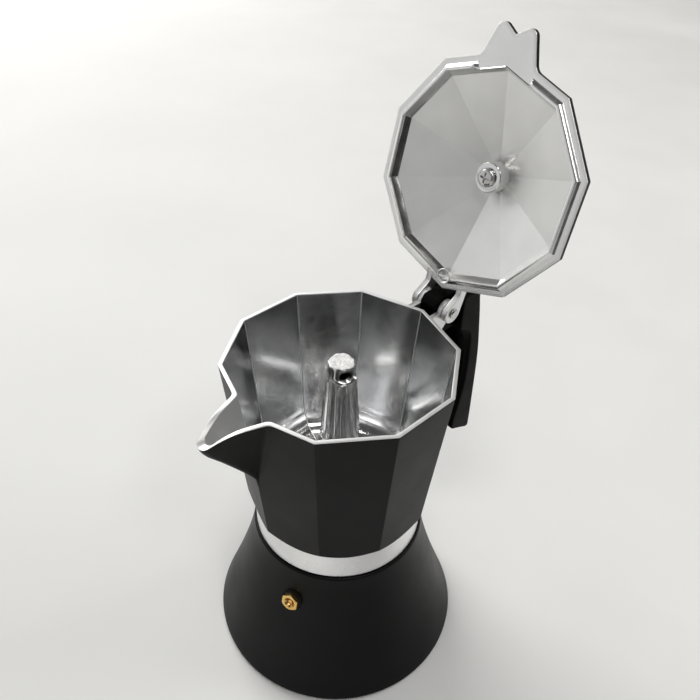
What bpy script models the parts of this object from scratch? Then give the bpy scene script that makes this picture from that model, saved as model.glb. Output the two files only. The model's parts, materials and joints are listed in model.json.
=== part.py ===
"""Stovetop moka pot for induction hobs: flared boiler, ten-sided upper chamber, hinged lid.

Metres, +Z up. The origin is the centre of the base's underside. The spout points along -Y, the
handle along +Y, and the lid's hinge runs along X. The lid is modelled shut and then opened.
"""

import math

import bmesh
import bpy
from mathutils import Matrix, Vector

# ---- driving dimensions -------------------------------------------------------------------
GAP = 0.0003                    # clearance between touching pieces

SIDES = 10                      # facets of the upper chamber and the lid
ROUND = 48                      # segments of large turned pieces
FINE = 32                       # segments of small turned pieces

BASE_RADIUS = 0.0636            # boiler at its widest, just above the hob
SHOULDER_RADIUS = 0.0422        # boiler where it meets the band
BOILER_HEIGHT = 0.0735          # from the hob to the shoulder
BOILER_WALL = 0.0024
BOILER_FLOOR = 0.0035
FLARE_POWER = 1.3               # 1 would be a straight cone
EDGE_HEIGHT = 0.003             # height of the widest point above the hob

PLATE_RADIUS = 0.0570           # induction disc under the boiler
PLATE_THICKNESS = 0.0015

BAND_RADIUS = 0.0410            # plain turned band at the foot of the chamber
BAND_GAP = 0.0008               # shadow gap between the shoulder and the band
BAND_HEIGHT = 0.0147
BAND_FLARE = 0.735              # outward slope of the chamfer above the band
SKIRT_WALL = 0.0029

CHAMBER_HEIGHT = 0.0989         # from the band's lower edge to the rim
RIM_RADIUS = 0.0520             # across the corners of the rim, halved
FOOT_RADIUS = 0.04377           # the same where the facets end, at the band's top
CHAMBER_WALL = 0.0018
CHAMBER_FLOOR = 0.0050
FLOOR_FILLET = 0.0100

THREAD_PITCH = 0.0030
THREAD_DEPTH = 0.0012
THREAD_TURNS = 2.2
NECK_WALL = 0.0033
NECK_HEIGHT = 0.0125

BASKET_DEPTH = 0.0240
BASKET_WALL = 0.0010
STEM_RADIUS = 0.0050
STEM_BORE = 0.0040
STEM_LIFT = 0.0050              # from the boiler's floor to the end of the stem
GASKET_THICKNESS = 0.0023
GASKET_BORE = 0.0285
FILTER_THICKNESS = 0.0010

COLUMN_HEIGHT = 0.0742          # above the chamber's floor
COLUMN_FOOT_RADIUS = 0.0115
COLUMN_TOP_RADIUS = 0.0069
COLUMN_CAP_RADIUS = 0.0055
COLUMN_WALL = 0.0022
COLUMN_FLUTES = 14
FLUTE_DEPTH = 0.0007
COLUMN_COLLAR = 0.0085          # the flutes end this far under the column's top
COLUMN_DOME = 0.0040            # the top narrows over this height
OUTLET_DROP = 0.0050            # middle of the outlet under the column's top
OUTLET_RADIUS = 0.0028
OUTLET_BEARING = math.radians(-25)

SPOUT_REACH = 0.0222            # from the rim's front corner to the tip
SPOUT_HALF_WIDTH = 0.0116       # where the spout leaves the facets
SPOUT_TIP_RADIUS = 0.0036
SPOUT_DEPTH = 0.0416            # from the rim to the keel's foot
SPOUT_WALL = 0.0016
LIP_DROP = 0.0052               # the tip lies this far under the rim

HINGE_REACH = 0.00865           # from the rim's back corner to the pin
HINGE_DROP = 0.0008             # the pin lies this far under the rim
HINGE_PIN_RADIUS = 0.0014
LUG_RADIUS = 0.0050
EAR_RADIUS = 0.0053
TONGUE_HALF_WIDTH = 0.0043
LUG_WIDTH = 0.0026
EAR_WIDTH = 0.0028
TONGUE_RADIUS = 0.0076          # the tongue's corners stay inside this circle about the pin
TONGUE_REACH = 0.0066           # its front face, ahead of the pin
TONGUE_DEPTH = 0.0155           # from the pin down to the underside of the handle's bridge
HANDLE_PIN_RADIUS = 0.0012

HANDLE_HALF_WIDTH = 0.0100
HANDLE_LENGTH = 0.0990          # from its top to its lower end
HANDLE_TOP = 0.0061             # its top above the hinge pin
HANDLE_SLANT = 0.0072           # the lower end's front edge is this much higher than its back
HANDLE_SHELL = 0.0032

LID_OPEN = math.radians(103.9)
LID_OVERHANG = 0.0007
LID_THICKNESS = 0.0030
LID_SHELL = 0.0020
LID_RISE = 0.0166               # height of the faceted cone inside the lid
LID_RECESS = 0.0034
BEAD_HEIGHT = 0.0018
BEAD_WIDTH = 0.0020
TAB_REACH = 0.0097
TAB_HALF_WIDTH = 0.0136
TAB_THICKNESS = 0.0028
BOSS_RADIUS = 0.00675
BOSS_LENGTH = 0.0096
KNOB_HEIGHT = 0.0220
KNOB_RADIUS = 0.0115
SCREW_RADIUS = 0.0020
SCREW_HEAD_RADIUS = 0.00425
SCREW_HEAD_HEIGHT = 0.0022

VALVE_BEARING = math.radians(-70.5)
VALVE_HEIGHT = 0.0555
VALVE_FLATS = 0.0080            # across the flats of the hexagon
VALVE_HEAD = 0.0026
VALVE_SHANK_RADIUS = 0.0030
VALVE_SHANK = 0.0075
VALVE_PIN_RADIUS = 0.0011

# ---- places worked out from them ----------------------------------------------------------
FACET_COS = math.cos(math.pi / SIDES)
BAND_BOTTOM = BOILER_HEIGHT + BAND_GAP
BAND_TOP = BAND_BOTTOM + BAND_HEIGHT
RIM = BAND_BOTTOM + CHAMBER_HEIGHT
SKIRT_BORE = BAND_RADIUS - SKIRT_WALL
NECK_RADIUS = SKIRT_BORE - THREAD_DEPTH - GAP
NECK_BORE = NECK_RADIUS - NECK_WALL
NECK_TOP = BOILER_HEIGHT + NECK_HEIGHT
BOILER_INSIDE_FLOOR = PLATE_THICKNESS + GAP + BOILER_FLOOR

FLANGE_BOTTOM = NECK_TOP + GAP
FLANGE_TOP = FLANGE_BOTTOM + BASKET_WALL
GASKET_BOTTOM = FLANGE_TOP + GAP
GASKET_TOP = GASKET_BOTTOM + GASKET_THICKNESS
FILTER_BOTTOM = GASKET_TOP + GAP
FILTER_TOP = FILTER_BOTTOM + FILTER_THICKNESS
CHAMBER_UNDERSIDE = FILTER_TOP + GAP
CHAMBER_INSIDE_FLOOR = CHAMBER_UNDERSIDE + CHAMBER_FLOOR
PLENUM_DEPTH = 0.4 * CHAMBER_FLOOR
BASKET_RADIUS = NECK_BORE - 2 * GAP
SPIGOT_RADIUS = COLUMN_FOOT_RADIUS - COLUMN_WALL

HINGE_Y = RIM_RADIUS + HINGE_REACH
HINGE_Z = RIM - HINGE_DROP
LUG_INSIDE = TONGUE_HALF_WIDTH + GAP
LUG_OUTSIDE = LUG_INSIDE + LUG_WIDTH
EAR_INSIDE = LUG_OUTSIDE + GAP
EAR_OUTSIDE = EAR_INSIDE + EAR_WIDTH

LID_BOTTOM = RIM + GAP
LID_RADIUS = RIM_RADIUS + LID_OVERHANG
RIM_BORE = RIM_RADIUS - CHAMBER_WALL / FACET_COS


def chamber_radius(z):
    """Corner radius of the faceted outside at height z."""
    share = (z - BAND_TOP) / (RIM - BAND_TOP)
    return FOOT_RADIUS + max(share, 0.0) * (RIM_RADIUS - FOOT_RADIUS)


def boiler_radius(z):
    """Radius of the boiler's flared outside at height z."""
    share = (BOILER_HEIGHT - z) / (BOILER_HEIGHT - EDGE_HEIGHT)
    return SHOULDER_RADIUS + (BASE_RADIUS - SHOULDER_RADIUS) * max(share, 0.0) ** FLARE_POWER


# ---- materials ----------------------------------------------------------------------------
def material(name, colour, roughness, metallic):
    result = bpy.data.materials.new(name)
    result.use_nodes = True
    shader = result.node_tree.nodes["Principled BSDF"]
    shader.inputs["Base Color"].default_value = (*colour, 1.0)
    shader.inputs["Roughness"].default_value = roughness
    shader.inputs["Metallic"].default_value = metallic
    result.diffuse_color = (*colour, 1.0)
    return result


# ---- shapes -------------------------------------------------------------------------------
def solid(name, bm, transform=None):
    """Turn a bmesh into an object of flat triangles, with its faces pointing out."""
    bmesh.ops.triangulate(bm, faces=bm.faces)
    bmesh.ops.recalc_face_normals(bm, faces=bm.faces)
    if transform is not None:
        bm.transform(transform)
    mesh = bpy.data.meshes.new(name)
    bm.to_mesh(mesh)
    bm.free()
    result = bpy.data.objects.new(name, mesh)
    bpy.context.scene.collection.objects.link(result)
    return result


def turned(name, profile, steps=ROUND, transform=None):
    """Turn a closed profile of (radius, height) about Z, with a corner on +Y."""
    bm = bmesh.new()
    rings = []
    for radius, height in profile:
        if radius == 0:
            rings.append([bm.verts.new((0, 0, height))] * steps)
            continue
        angles = (math.pi / 2 + 2 * math.pi * k / steps for k in range(steps))
        rings.append([bm.verts.new((radius * math.cos(a), radius * math.sin(a), height))
                      for a in angles])
    for low, high in zip(rings, rings[1:] + rings[:1]):
        for k in range(steps):
            j = (k + 1) % steps
            corners = dict.fromkeys((low[k], low[j], high[j], high[k]))
            if len(corners) > 2:
                bm.faces.new(corners)
    return solid(name, bm, transform)


def extruded(name, outline, start, end, transform=None):
    """Extrude an outline of (y, z) along X from start to end."""
    bm = bmesh.new()
    near = [bm.verts.new((start, y, z)) for y, z in outline]
    far = [bm.verts.new((end, y, z)) for y, z in outline]
    bm.faces.new(near)
    bm.faces.new(far)
    for k in range(len(outline)):
        j = (k + 1) % len(outline)
        bm.faces.new((near[k], near[j], far[j], far[k]))
    return solid(name, bm, transform)


def pressed(name, outline, low, high, transform=None):
    """Extrude an outline of (x, y) upward from one height to another."""
    bm = bmesh.new()
    bottom = [bm.verts.new((x, y, low)) for x, y in outline]
    top = [bm.verts.new((x, y, high)) for x, y in outline]
    bm.faces.new(bottom)
    bm.faces.new(top)
    for k in range(len(outline)):
        j = (k + 1) % len(outline)
        bm.faces.new((bottom[k], bottom[j], top[j], top[k]))
    return solid(name, bm, transform)


RING_STEPS = SIDES * 4


def ring(radius, height, sides=0, steps=RING_STEPS):
    """Points at one height from +Y round, on a circle or on a polygon of that corner radius."""
    points = []
    for k in range(steps):
        angle = 2 * math.pi * k / steps
        reach = radius
        if sides:
            from_middle = angle % (2 * math.pi / sides) - math.pi / sides
            reach *= math.cos(math.pi / sides) / math.cos(from_middle)
        points.append((-reach * math.sin(angle), reach * math.cos(angle), height))
    return points


def lofted(name, rings, closed=False, transform=None):
    """Join rings of points and close both ends, or join the last ring to the first."""
    bm = bmesh.new()
    rows = [[bm.verts.new(point) for point in points] for points in rings]
    for low, high in zip(rows, rows[1:] + rows[:1] if closed else rows[1:]):
        for k in range(len(low)):
            j = (k + 1) % len(low)
            bm.faces.new((low[k], low[j], high[j], high[k]))
    if not closed:
        bm.faces.new(rows[0])
        bm.faces.new(rows[-1])
    return solid(name, bm, transform)


def rod(name, radius, start, end, steps=FINE):
    """A cylinder between two points, its corners turned a little off the axes."""
    axis = Vector(end) - Vector(start)
    turn = axis.to_track_quat("Z", "Y").to_matrix().to_4x4() @ Matrix.Rotation(0.1, 4, "Z")
    profile = [(0, 0), (radius, 0), (radius, axis.length), (0, axis.length)]
    return turned(name, profile, steps, Matrix.Translation(start) @ turn)


def arc(centre, radius, start, end, steps):
    """Points on a circle, from one angle in degrees to another."""
    angles = (math.radians(start + (end - start) * k / steps) for k in range(steps + 1))
    return [(centre[0] + radius * math.cos(a), centre[1] + radius * math.sin(a)) for a in angles]


def combine(target, tool, operation):
    """Apply one exact Boolean and drop the tool."""
    modifier = target.modifiers.new(operation.title(), "BOOLEAN")
    modifier.operation = operation
    modifier.solver = "EXACT"
    modifier.object = tool
    tool.hide_render = True
    tool.display_type = "WIRE"
    bpy.context.view_layer.update()
    depsgraph = bpy.context.evaluated_depsgraph_get()
    mesh = bpy.data.meshes.new_from_object(target.evaluated_get(depsgraph))
    target.modifiers.clear()
    target.data = mesh
    bpy.data.objects.remove(tool)
    return target


def add(target, *tools):
    for tool in tools:
        combine(target, tool, "UNION")
    return target


def cut(target, *tools):
    for tool in tools:
        combine(target, tool, "DIFFERENCE")
    return target


def finish(target, look, parent=None):
    """Weld stray points, shade the piece and give it its material and parent."""
    bm = bmesh.new()
    bm.from_mesh(target.data)
    bmesh.ops.remove_doubles(bm, verts=bm.verts, dist=1e-6)
    bmesh.ops.triangulate(bm, faces=[f for f in bm.faces if len(f.verts) > 4])
    bm.to_mesh(target.data)
    bm.free()
    target.data.materials.clear()
    target.data.materials.append(look)
    target.data.shade_smooth()
    target.data.set_sharp_from_angle(angle=math.radians(30))
    target.parent = parent
    return target


def thread(name, root, crest, bottom, turns, steps=ROUND):
    """A helical ridge whose root is at one radius and whose crest is at another."""
    inward = 1 if crest > root else -1
    buried = root - inward * THREAD_DEPTH / 2
    base, tip = THREAD_PITCH * 0.30, THREAD_PITCH * 0.12
    count = round(turns * steps)
    bm = bmesh.new()
    rows = []
    for k in range(count + 1):
        angle = 2 * math.pi * (k + 0.5) / steps
        middle = bottom + base + THREAD_PITCH * k / steps
        points = ((buried, -base), (crest, -tip), (crest, tip), (buried, base))
        rows.append(
            [bm.verts.new((r * math.cos(angle), r * math.sin(angle), middle + z)) for r, z in points]
        )
    for low, high in zip(rows, rows[1:]):
        for k in range(len(low)):
            j = (k + 1) % len(low)
            bm.faces.new((low[k], low[j], high[j], high[k]))
    bm.faces.new(rows[0])
    bm.faces.new(rows[-1])
    return solid(name, bm)


# ---- boiler -------------------------------------------------------------------------------
def valve_frame():
    """Places the valve's own +Z along the outward normal of the boiler at the valve."""
    step = 0.0005
    slope = (boiler_radius(VALVE_HEIGHT - step) - boiler_radius(VALVE_HEIGHT + step)) / (2 * step)
    outward = Vector((math.cos(VALVE_BEARING), math.sin(VALVE_BEARING), slope)).normalized()
    place = Vector((math.cos(VALVE_BEARING), math.sin(VALVE_BEARING), 0)) * boiler_radius(VALVE_HEIGHT)
    place.z = VALVE_HEIGHT
    return Matrix.Translation(place) @ outward.to_track_quat("Z", "Y").to_matrix().to_4x4()


SPOT_FACE = 0.0005              # depth of the flat seat milled for the valve


def make_boiler(look):
    rows = 9
    top = BOILER_HEIGHT - 0.001
    heights = [EDGE_HEIGHT + (top - EDGE_HEIGHT) * k / rows for k in range(rows + 1)]
    edge = EDGE_HEIGHT - GAP
    outside = [(BASE_RADIUS - edge * (1 - math.cos(a)), GAP + edge * (1 - math.sin(a)))
               for a in (math.radians(d) for d in (80, 50, 20))]
    outside += [(boiler_radius(z), z) for z in heights]
    outside += [(SHOULDER_RADIUS - 0.001, BOILER_HEIGHT), (NECK_RADIUS, BOILER_HEIGHT)]
    outside += [(NECK_RADIUS, NECK_TOP - 0.0008), (NECK_RADIUS - 0.0008, NECK_TOP)]
    inside_heights = [z for z in heights if z > BOILER_INSIDE_FLOOR + 0.004]
    inside = [(min(boiler_radius(z) - BOILER_WALL, NECK_BORE + max(0.0, (top - z)) * 1.2), z)
              for z in reversed(inside_heights)]
    inside = [(NECK_BORE, NECK_TOP)] + inside
    low = boiler_radius(BOILER_INSIDE_FLOOR) - BOILER_WALL
    inside += [(low, BOILER_INSIDE_FLOOR + 0.003), (low - 0.003, BOILER_INSIDE_FLOOR),
               (0, BOILER_INSIDE_FLOOR)]
    recess = PLATE_THICKNESS + GAP
    under = [(0, recess), (PLATE_RADIUS + GAP, recess), (PLATE_RADIUS + GAP, GAP)]
    boiler = turned("boiler", under + outside + inside)
    add(boiler, thread("male_thread", NECK_RADIUS, NECK_RADIUS + THREAD_DEPTH - GAP,
                       BOILER_HEIGHT + 0.0016, THREAD_TURNS))
    frame = valve_frame()
    profile = [(0, -SPOT_FACE), (0.0055, -SPOT_FACE), (0.0055, 0.01), (0, 0.01)]
    seat = turned("seat", profile, FINE, frame)
    wide = VALVE_SHANK_RADIUS + GAP
    hole = turned("hole", [(0, -0.012), (wide, -0.012), (wide, 0.01), (0, 0.01)], FINE, frame)
    cut(boiler, seat, hole)
    return finish(boiler, look)


def make_base_plate(look):
    edge = 0.0004
    profile = [(0, 0), (PLATE_RADIUS - edge, 0), (PLATE_RADIUS, edge), (PLATE_RADIUS, PLATE_THICKNESS),
               (0, PLATE_THICKNESS)]
    return finish(turned("base_plate", profile), look)


# ---- safety valve -------------------------------------------------------------------------
WASHER_THICKNESS = 0.0008
HEX_BOTTOM = -SPOT_FACE + WASHER_THICKNESS + 2 * GAP
HEX_TOP = HEX_BOTTOM + VALVE_HEAD
HEX_CHAMFER = 0.0005
SHOULDER = -0.0015              # where the narrow outer bore ends and the spring begins
SPRING_BORE = 0.0024
PIN_FLANGE_TOP = -0.0046
PIN_FLANGE = 0.0007
PIN_NOSE = -0.0064
VALVE_STROKE = 0.0012


def make_valve(looks):
    frame = valve_frame()
    corner = VALVE_FLATS / 2 / math.cos(math.pi / 6)
    shank, pin_hole, steps = VALVE_SHANK_RADIUS, VALVE_PIN_RADIUS + GAP, 36
    low = -VALVE_SHANK
    rings = [ring(SPRING_BORE, low, 0, steps), ring(shank, low, 0, steps),
             ring(shank, HEX_BOTTOM, 0, steps), ring(corner, HEX_BOTTOM, 6, steps),
             ring(corner, HEX_TOP - HEX_CHAMFER, 6, steps), ring(VALVE_FLATS * 0.49, HEX_TOP, 0, steps),
             ring(VALVE_FLATS * 0.35, HEX_TOP, 0, steps),
             ring(pin_hole, HEX_TOP - 0.0016, 0, steps), ring(pin_hole, SHOULDER, 0, steps),
             ring(SPRING_BORE, SHOULDER, 0, steps)]
    head = lofted("valve_body", rings, True, frame @ Matrix.Rotation(math.pi / 6, 4, "Z"))
    finish(head, looks["brass"])

    low = -SPOT_FACE + GAP
    washer = [(VALVE_SHANK_RADIUS + GAP, low), (0.0049, low), (0.0049, low + WASHER_THICKNESS),
              (VALVE_SHANK_RADIUS + GAP, low + WASHER_THICKNESS)]
    finish(turned("valve_washer", washer, FINE, frame), looks["rubber"])

    flange_bottom, flange = PIN_FLANGE_TOP - PIN_FLANGE, SPRING_BORE - GAP
    radius, pin_top = VALVE_PIN_RADIUS, HEX_TOP - 0.0008
    pin = [(0, PIN_NOSE), (0.0006, PIN_NOSE), (radius + 0.0006, flange_bottom),
           (flange, flange_bottom), (flange, PIN_FLANGE_TOP), (radius, PIN_FLANGE_TOP),
           (radius, pin_top - 0.0004), (radius - 0.0004, pin_top), (0, pin_top)]
    finish(turned("valve_pin", pin, 20, frame), looks["steel"])

    nose_hole = 0.0012
    retainer = [(nose_hole, -VALVE_SHANK + GAP), (SPRING_BORE - GAP, -VALVE_SHANK + GAP),
                (SPRING_BORE - GAP, PIN_NOSE), (nose_hole + 0.0002, PIN_NOSE)]
    finish(turned("valve_seat", retainer, 20, frame), looks["brass"])

    make_spring(looks["steel"], frame)


def make_spring(look, frame):
    wire, coil, turns, steps, sides = 0.00022, 0.00185, 2.6, 16, 6
    start, end = PIN_FLANGE_TOP + GAP + wire, SHOULDER - GAP - wire
    count = round(turns * steps)
    bm = bmesh.new()
    rows = []
    for k in range(count + 1):
        around = 2 * math.pi * k / steps
        height = start + (end - start) * k / count
        row = []
        for j in range(sides):
            turn = 2 * math.pi * j / sides
            reach = coil + wire * math.cos(turn)
            row.append(bm.verts.new((reach * math.cos(around), reach * math.sin(around),
                                     height + wire * math.sin(turn))))
        rows.append(row)
    for low, high in zip(rows, rows[1:]):
        for k in range(sides):
            j = (k + 1) % sides
            bm.faces.new((low[k], low[j], high[j], high[k]))
    bm.faces.new(rows[0])
    bm.faces.new(rows[-1])
    finish(solid("valve_spring", bm, frame), look)


# ---- coffee funnel, gasket and filter -----------------------------------------------------
def perforate(plate, rings, spacing, radius, low, high):
    """Drill a centre hole and rings of 6, 12, 18 ... holes through a flat plate."""
    bm = bmesh.new()
    for row in range(rings + 1):
        count = max(1, 6 * row)
        for k in range(count):
            angle = 2 * math.pi * k / count
            reach = row * spacing
            place = (reach * math.cos(angle), reach * math.sin(angle), (low + high) / 2)
            bmesh.ops.create_cone(bm, cap_ends=True, segments=6, radius1=radius, radius2=radius,
                                  depth=(high - low) * 3, matrix=Matrix.Translation(place))
    return cut(plate, solid("drill", bm))


SCREEN_THICKNESS = 0.0008
STEM_FLARE = 0.0060


def make_funnel(looks):
    rim_outer = NECK_RADIUS - 2 * GAP
    floor = FLANGE_TOP - BASKET_DEPTH
    stem_end = BOILER_INSIDE_FLOOR + STEM_LIFT
    outer, inner = BASKET_RADIUS, BASKET_RADIUS - BASKET_WALL
    profile = [(rim_outer, FLANGE_BOTTOM), (rim_outer, FLANGE_TOP), (inner, FLANGE_TOP),
               (inner, floor), (STEM_FLARE + 0.001, floor), (STEM_BORE, floor - 0.004),
               (STEM_BORE, stem_end), (STEM_RADIUS, stem_end), (STEM_RADIUS, floor - 0.0055),
               (STEM_FLARE + 0.002, floor - BASKET_WALL), (outer, floor - BASKET_WALL),
               (outer, FLANGE_BOTTOM)]
    finish(turned("funnel", profile, ROUND), looks["bright_aluminium"])

    low = floor + GAP
    radius = inner - 2 * GAP
    screen = turned("funnel_screen", [(0, low), (radius, low), (radius, low + SCREEN_THICKNESS),
                                      (0, low + SCREEN_THICKNESS)], ROUND)
    perforate(screen, 3, 0.0080, 0.0013, low, low + SCREEN_THICKNESS)
    finish(screen, looks["bright_aluminium"])


def make_seal(looks):
    outer = SKIRT_BORE - 2 * GAP
    gasket = [(GASKET_BORE, GASKET_BOTTOM), (outer, GASKET_BOTTOM), (outer, GASKET_TOP),
              (GASKET_BORE, GASKET_TOP)]
    finish(turned("gasket", gasket, ROUND), looks["silicone"])
    plate = turned("filter_plate", [(0, FILTER_BOTTOM), (outer, FILTER_BOTTOM), (outer, FILTER_TOP),
                                    (0, FILTER_TOP)], ROUND)
    perforate(plate, 3, 0.0075, 0.0012, FILTER_BOTTOM, FILTER_TOP)
    finish(plate, looks["bright_aluminium"])


# ---- upper chamber ------------------------------------------------------------------------
# Keel of the spout: share of the reach outside the front corner, share of the depth below the rim.
SPOUT_KEEL = ((0.0, 1.0), (0.25, 0.765), (0.51, 0.545), (0.70, 0.39), (0.87, 0.265), (0.96, 0.16),
              (1.0, 0.0))
SPOUT_TAPER = 0.93              # share of its width the spout loses down to the keel's foot
CHANNEL_RISE = 0.0045           # the channel's floor above the keel


def facet_y(x, radius):
    """Depth of the faces on both sides of a corner on Y, at a distance x from the corner."""
    return radius - abs(x) * math.tan(math.pi / SIDES)


def spout_ring(z, reach, half_width, tip_radius, depth):
    """Outline of the spout at height z: two straight sides, a round tip and a back inside the wall."""
    corner = chamber_radius(z)
    tip_radius = min(tip_radius, half_width * 0.9)
    centre = -corner - reach + tip_radius
    tip = arc((0, centre), tip_radius, -15, -165, 6)
    side = (half_width, -facet_y(half_width, corner - depth))
    outline = [side] + tip + [(-side[0], side[1]), (0, depth - corner)]
    return [(x, y, z) for x, y in outline]


def spout_solid(name, shrink, raise_keel, overshoot, depth):
    """The spout's outside, or its channel when it is shrunk by the wall."""
    rings = []
    for reach_share, depth_share in SPOUT_KEEL:
        z = RIM - depth_share * (SPOUT_DEPTH - raise_keel)
        width = max(SPOUT_HALF_WIDTH * (1 - SPOUT_TAPER * depth_share) - shrink * 1.1, 0.0004)
        reach = max(reach_share * SPOUT_REACH - shrink, -shrink)
        rings.append(spout_ring(z, reach, width, SPOUT_TIP_RADIUS - shrink * 0.6, depth))
    if overshoot:
        rings.append([(x, y, RIM + overshoot) for x, y, _ in rings[-1]])
    return lofted(name, rings)


def hinge_lug(name, side):
    """One lug on the chamber's back corner, between the handle's tongue and a lid ear."""
    foot = HINGE_Z - TONGUE_DEPTH - 0.002
    middle = (LUG_INSIDE + LUG_OUTSIDE) / 2
    half_wall = CHAMBER_WALL / FACET_COS / 2
    low = facet_y(middle, chamber_radius(foot) - half_wall)
    high = facet_y(middle, chamber_radius(RIM - GAP) - half_wall)
    outline = [(low, foot), (low + 0.004, foot)]
    outline += arc((HINGE_Y, HINGE_Z), LUG_RADIUS, -60, 174, 12)
    outline += [(high, RIM - GAP)]
    return extruded(name, outline, side * LUG_INSIDE, side * LUG_OUTSIDE)


def paint_border():
    """Where the turned chamfer above the band runs out into the facets."""
    taper = (RIM_RADIUS - FOOT_RADIUS) / (RIM - BAND_TOP)
    points = []
    for x, y, _ in ring(1.0, 0.0, SIDES):
        share = math.hypot(x, y)
        rise = (FOOT_RADIUS * share - BAND_RADIUS) / (BAND_FLARE - taper * share)
        reach = (FOOT_RADIUS + taper * rise) * share
        points.append((x / share * reach, y / share * reach, BAND_TOP + rise))
    return points


def make_chamber(look):
    wall = CHAMBER_WALL / FACET_COS
    floor_radius = chamber_radius(CHAMBER_INSIDE_FLOOR) - wall
    centre = (floor_radius - FLOOR_FILLET, CHAMBER_INSIDE_FLOOR + FLOOR_FILLET)
    plenum, plenum_top = GASKET_BORE - 0.0005, CHAMBER_UNDERSIDE + PLENUM_DEPTH
    hole = SPIGOT_RADIUS + GAP
    rings = [ring(SKIRT_BORE, BAND_BOTTOM), ring(BAND_RADIUS, BAND_BOTTOM), ring(BAND_RADIUS, BAND_TOP),
             paint_border(), ring(RIM_RADIUS, RIM, SIDES), ring(RIM_RADIUS - wall, RIM, SIDES)]
    fillet = reversed(arc(centre, FLOOR_FILLET, -90, 0, 5))
    rings += [ring(radius, height, SIDES) for radius, height in fillet]
    rings += [ring(hole, CHAMBER_INSIDE_FLOOR), ring(hole, plenum_top),
              ring(plenum - 0.002, plenum_top), ring(plenum, CHAMBER_UNDERSIDE),
              ring(SKIRT_BORE, CHAMBER_UNDERSIDE)]
    body = lofted("upper_chamber", rings, True)
    add(body, hinge_lug("lug_right", 1), hinge_lug("lug_left", -1))
    add(body, spout_solid("spout", 0.0, 0.0, 0.0005, CHAMBER_WALL / 2))
    far = RIM_RADIUS + SPOUT_REACH
    over_spout = [(-far, -far - 0.01), (far, -far - 0.01), (far, -0.01), (-far, -0.01)]
    cut(body, pressed("rim_cut", over_spout, RIM - 0.0001, RIM + 0.02))
    cut(body, spout_solid("channel", SPOUT_WALL, CHANNEL_RISE, 0.01, CHAMBER_WALL + 0.006))

    tip = -RIM_RADIUS - SPOUT_REACH
    lip = [(tip + 0.65 * SPOUT_REACH, RIM + 0.0002), (tip + 0.2 * SPOUT_REACH, RIM - LIP_DROP * 0.55),
           (tip - 0.002, RIM - LIP_DROP), (tip - 0.01, RIM + 0.01),
           (tip + 0.6 * SPOUT_REACH, RIM + 0.01)]
    cut(body, extruded("lip_cut", lip, -SPOUT_HALF_WIDTH, SPOUT_HALF_WIDTH))

    add(body, thread("female_thread", SKIRT_BORE, SKIRT_BORE - THREAD_DEPTH + GAP,
                     BOILER_HEIGHT + 0.0016 + THREAD_PITCH / 2, THREAD_TURNS))
    drill_pin_holes(body, EAR_OUTSIDE + 0.01)
    return finish(body, look)


def drill_pin_holes(body, reach):
    """Holes for the hinge pin and for the pin that holds the handle."""
    ends = ((-reach, HINGE_Y, HINGE_Z), (reach, HINGE_Y, HINGE_Z))
    cut(body, rod("pin_hole", HINGE_PIN_RADIUS + GAP, *ends, 20))
    y, z = handle_pin_place()
    cut(body, rod("roll_hole", HANDLE_PIN_RADIUS + GAP, (-reach, y, z), (reach, y, z), 16))


def make_column(look):
    top = CHAMBER_INSIDE_FLOOR + COLUMN_HEIGHT
    foot = CHAMBER_INSIDE_FLOOR + GAP
    neck, cap = top - COLUMN_COLLAR, top - COLUMN_DOME
    heights = [(foot, COLUMN_FOOT_RADIUS, 1.0), (foot + 0.012, COLUMN_FOOT_RADIUS - 0.0009, 1.0),
               (neck, COLUMN_TOP_RADIUS, 1.0), (neck + 0.0010, COLUMN_TOP_RADIUS - 0.0005, 0.0),
               (cap, COLUMN_CAP_RADIUS + 0.0005, 0.0), (top - 0.0008, COLUMN_CAP_RADIUS + 0.0002, 0.0),
               (top, COLUMN_CAP_RADIUS - 0.0004, 0.0)]
    steps = COLUMN_FLUTES * 4
    angles = [2 * math.pi * k / steps for k in range(steps)]
    rings = [[(SPIGOT_RADIUS * math.cos(a), SPIGOT_RADIUS * math.sin(a), z) for a in angles]
             for z in (CHAMBER_UNDERSIDE + PLENUM_DEPTH, foot)]
    for z, radius, flute in heights:
        points = []
        for a in angles:
            reach = radius - flute * FLUTE_DEPTH * (0.5 - 0.5 * math.cos(COLUMN_FLUTES * a))
            points.append((reach * math.cos(a), reach * math.sin(a), z))
        rings.append(points)
    column = lofted("column", rings)
    bore_foot, bore_top = SPIGOT_RADIUS - COLUMN_WALL, COLUMN_TOP_RADIUS - COLUMN_WALL
    bore_end = top - OUTLET_DROP + OUTLET_RADIUS * 0.5
    bore = [(0, CHAMBER_UNDERSIDE), (bore_foot, CHAMBER_UNDERSIDE), (bore_top, neck - 0.002),
            (bore_top * 0.7, bore_end), (0, bore_end)]
    cut(column, turned("bore", bore, 24))
    outlet = arc((0, top - OUTLET_DROP), OUTLET_RADIUS, 0, 360, 14)[:-1]
    reach = COLUMN_TOP_RADIUS + 0.005
    turn = Matrix.Rotation(OUTLET_BEARING, 4, "Z")
    cut(column, extruded("outlet", outlet, -reach, reach, turn))
    return finish(column, look)


# ---- handle -------------------------------------------------------------------------------
def handle_pin_place():
    return HINGE_Y - 0.0040, HINGE_Z - 0.0110


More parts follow.
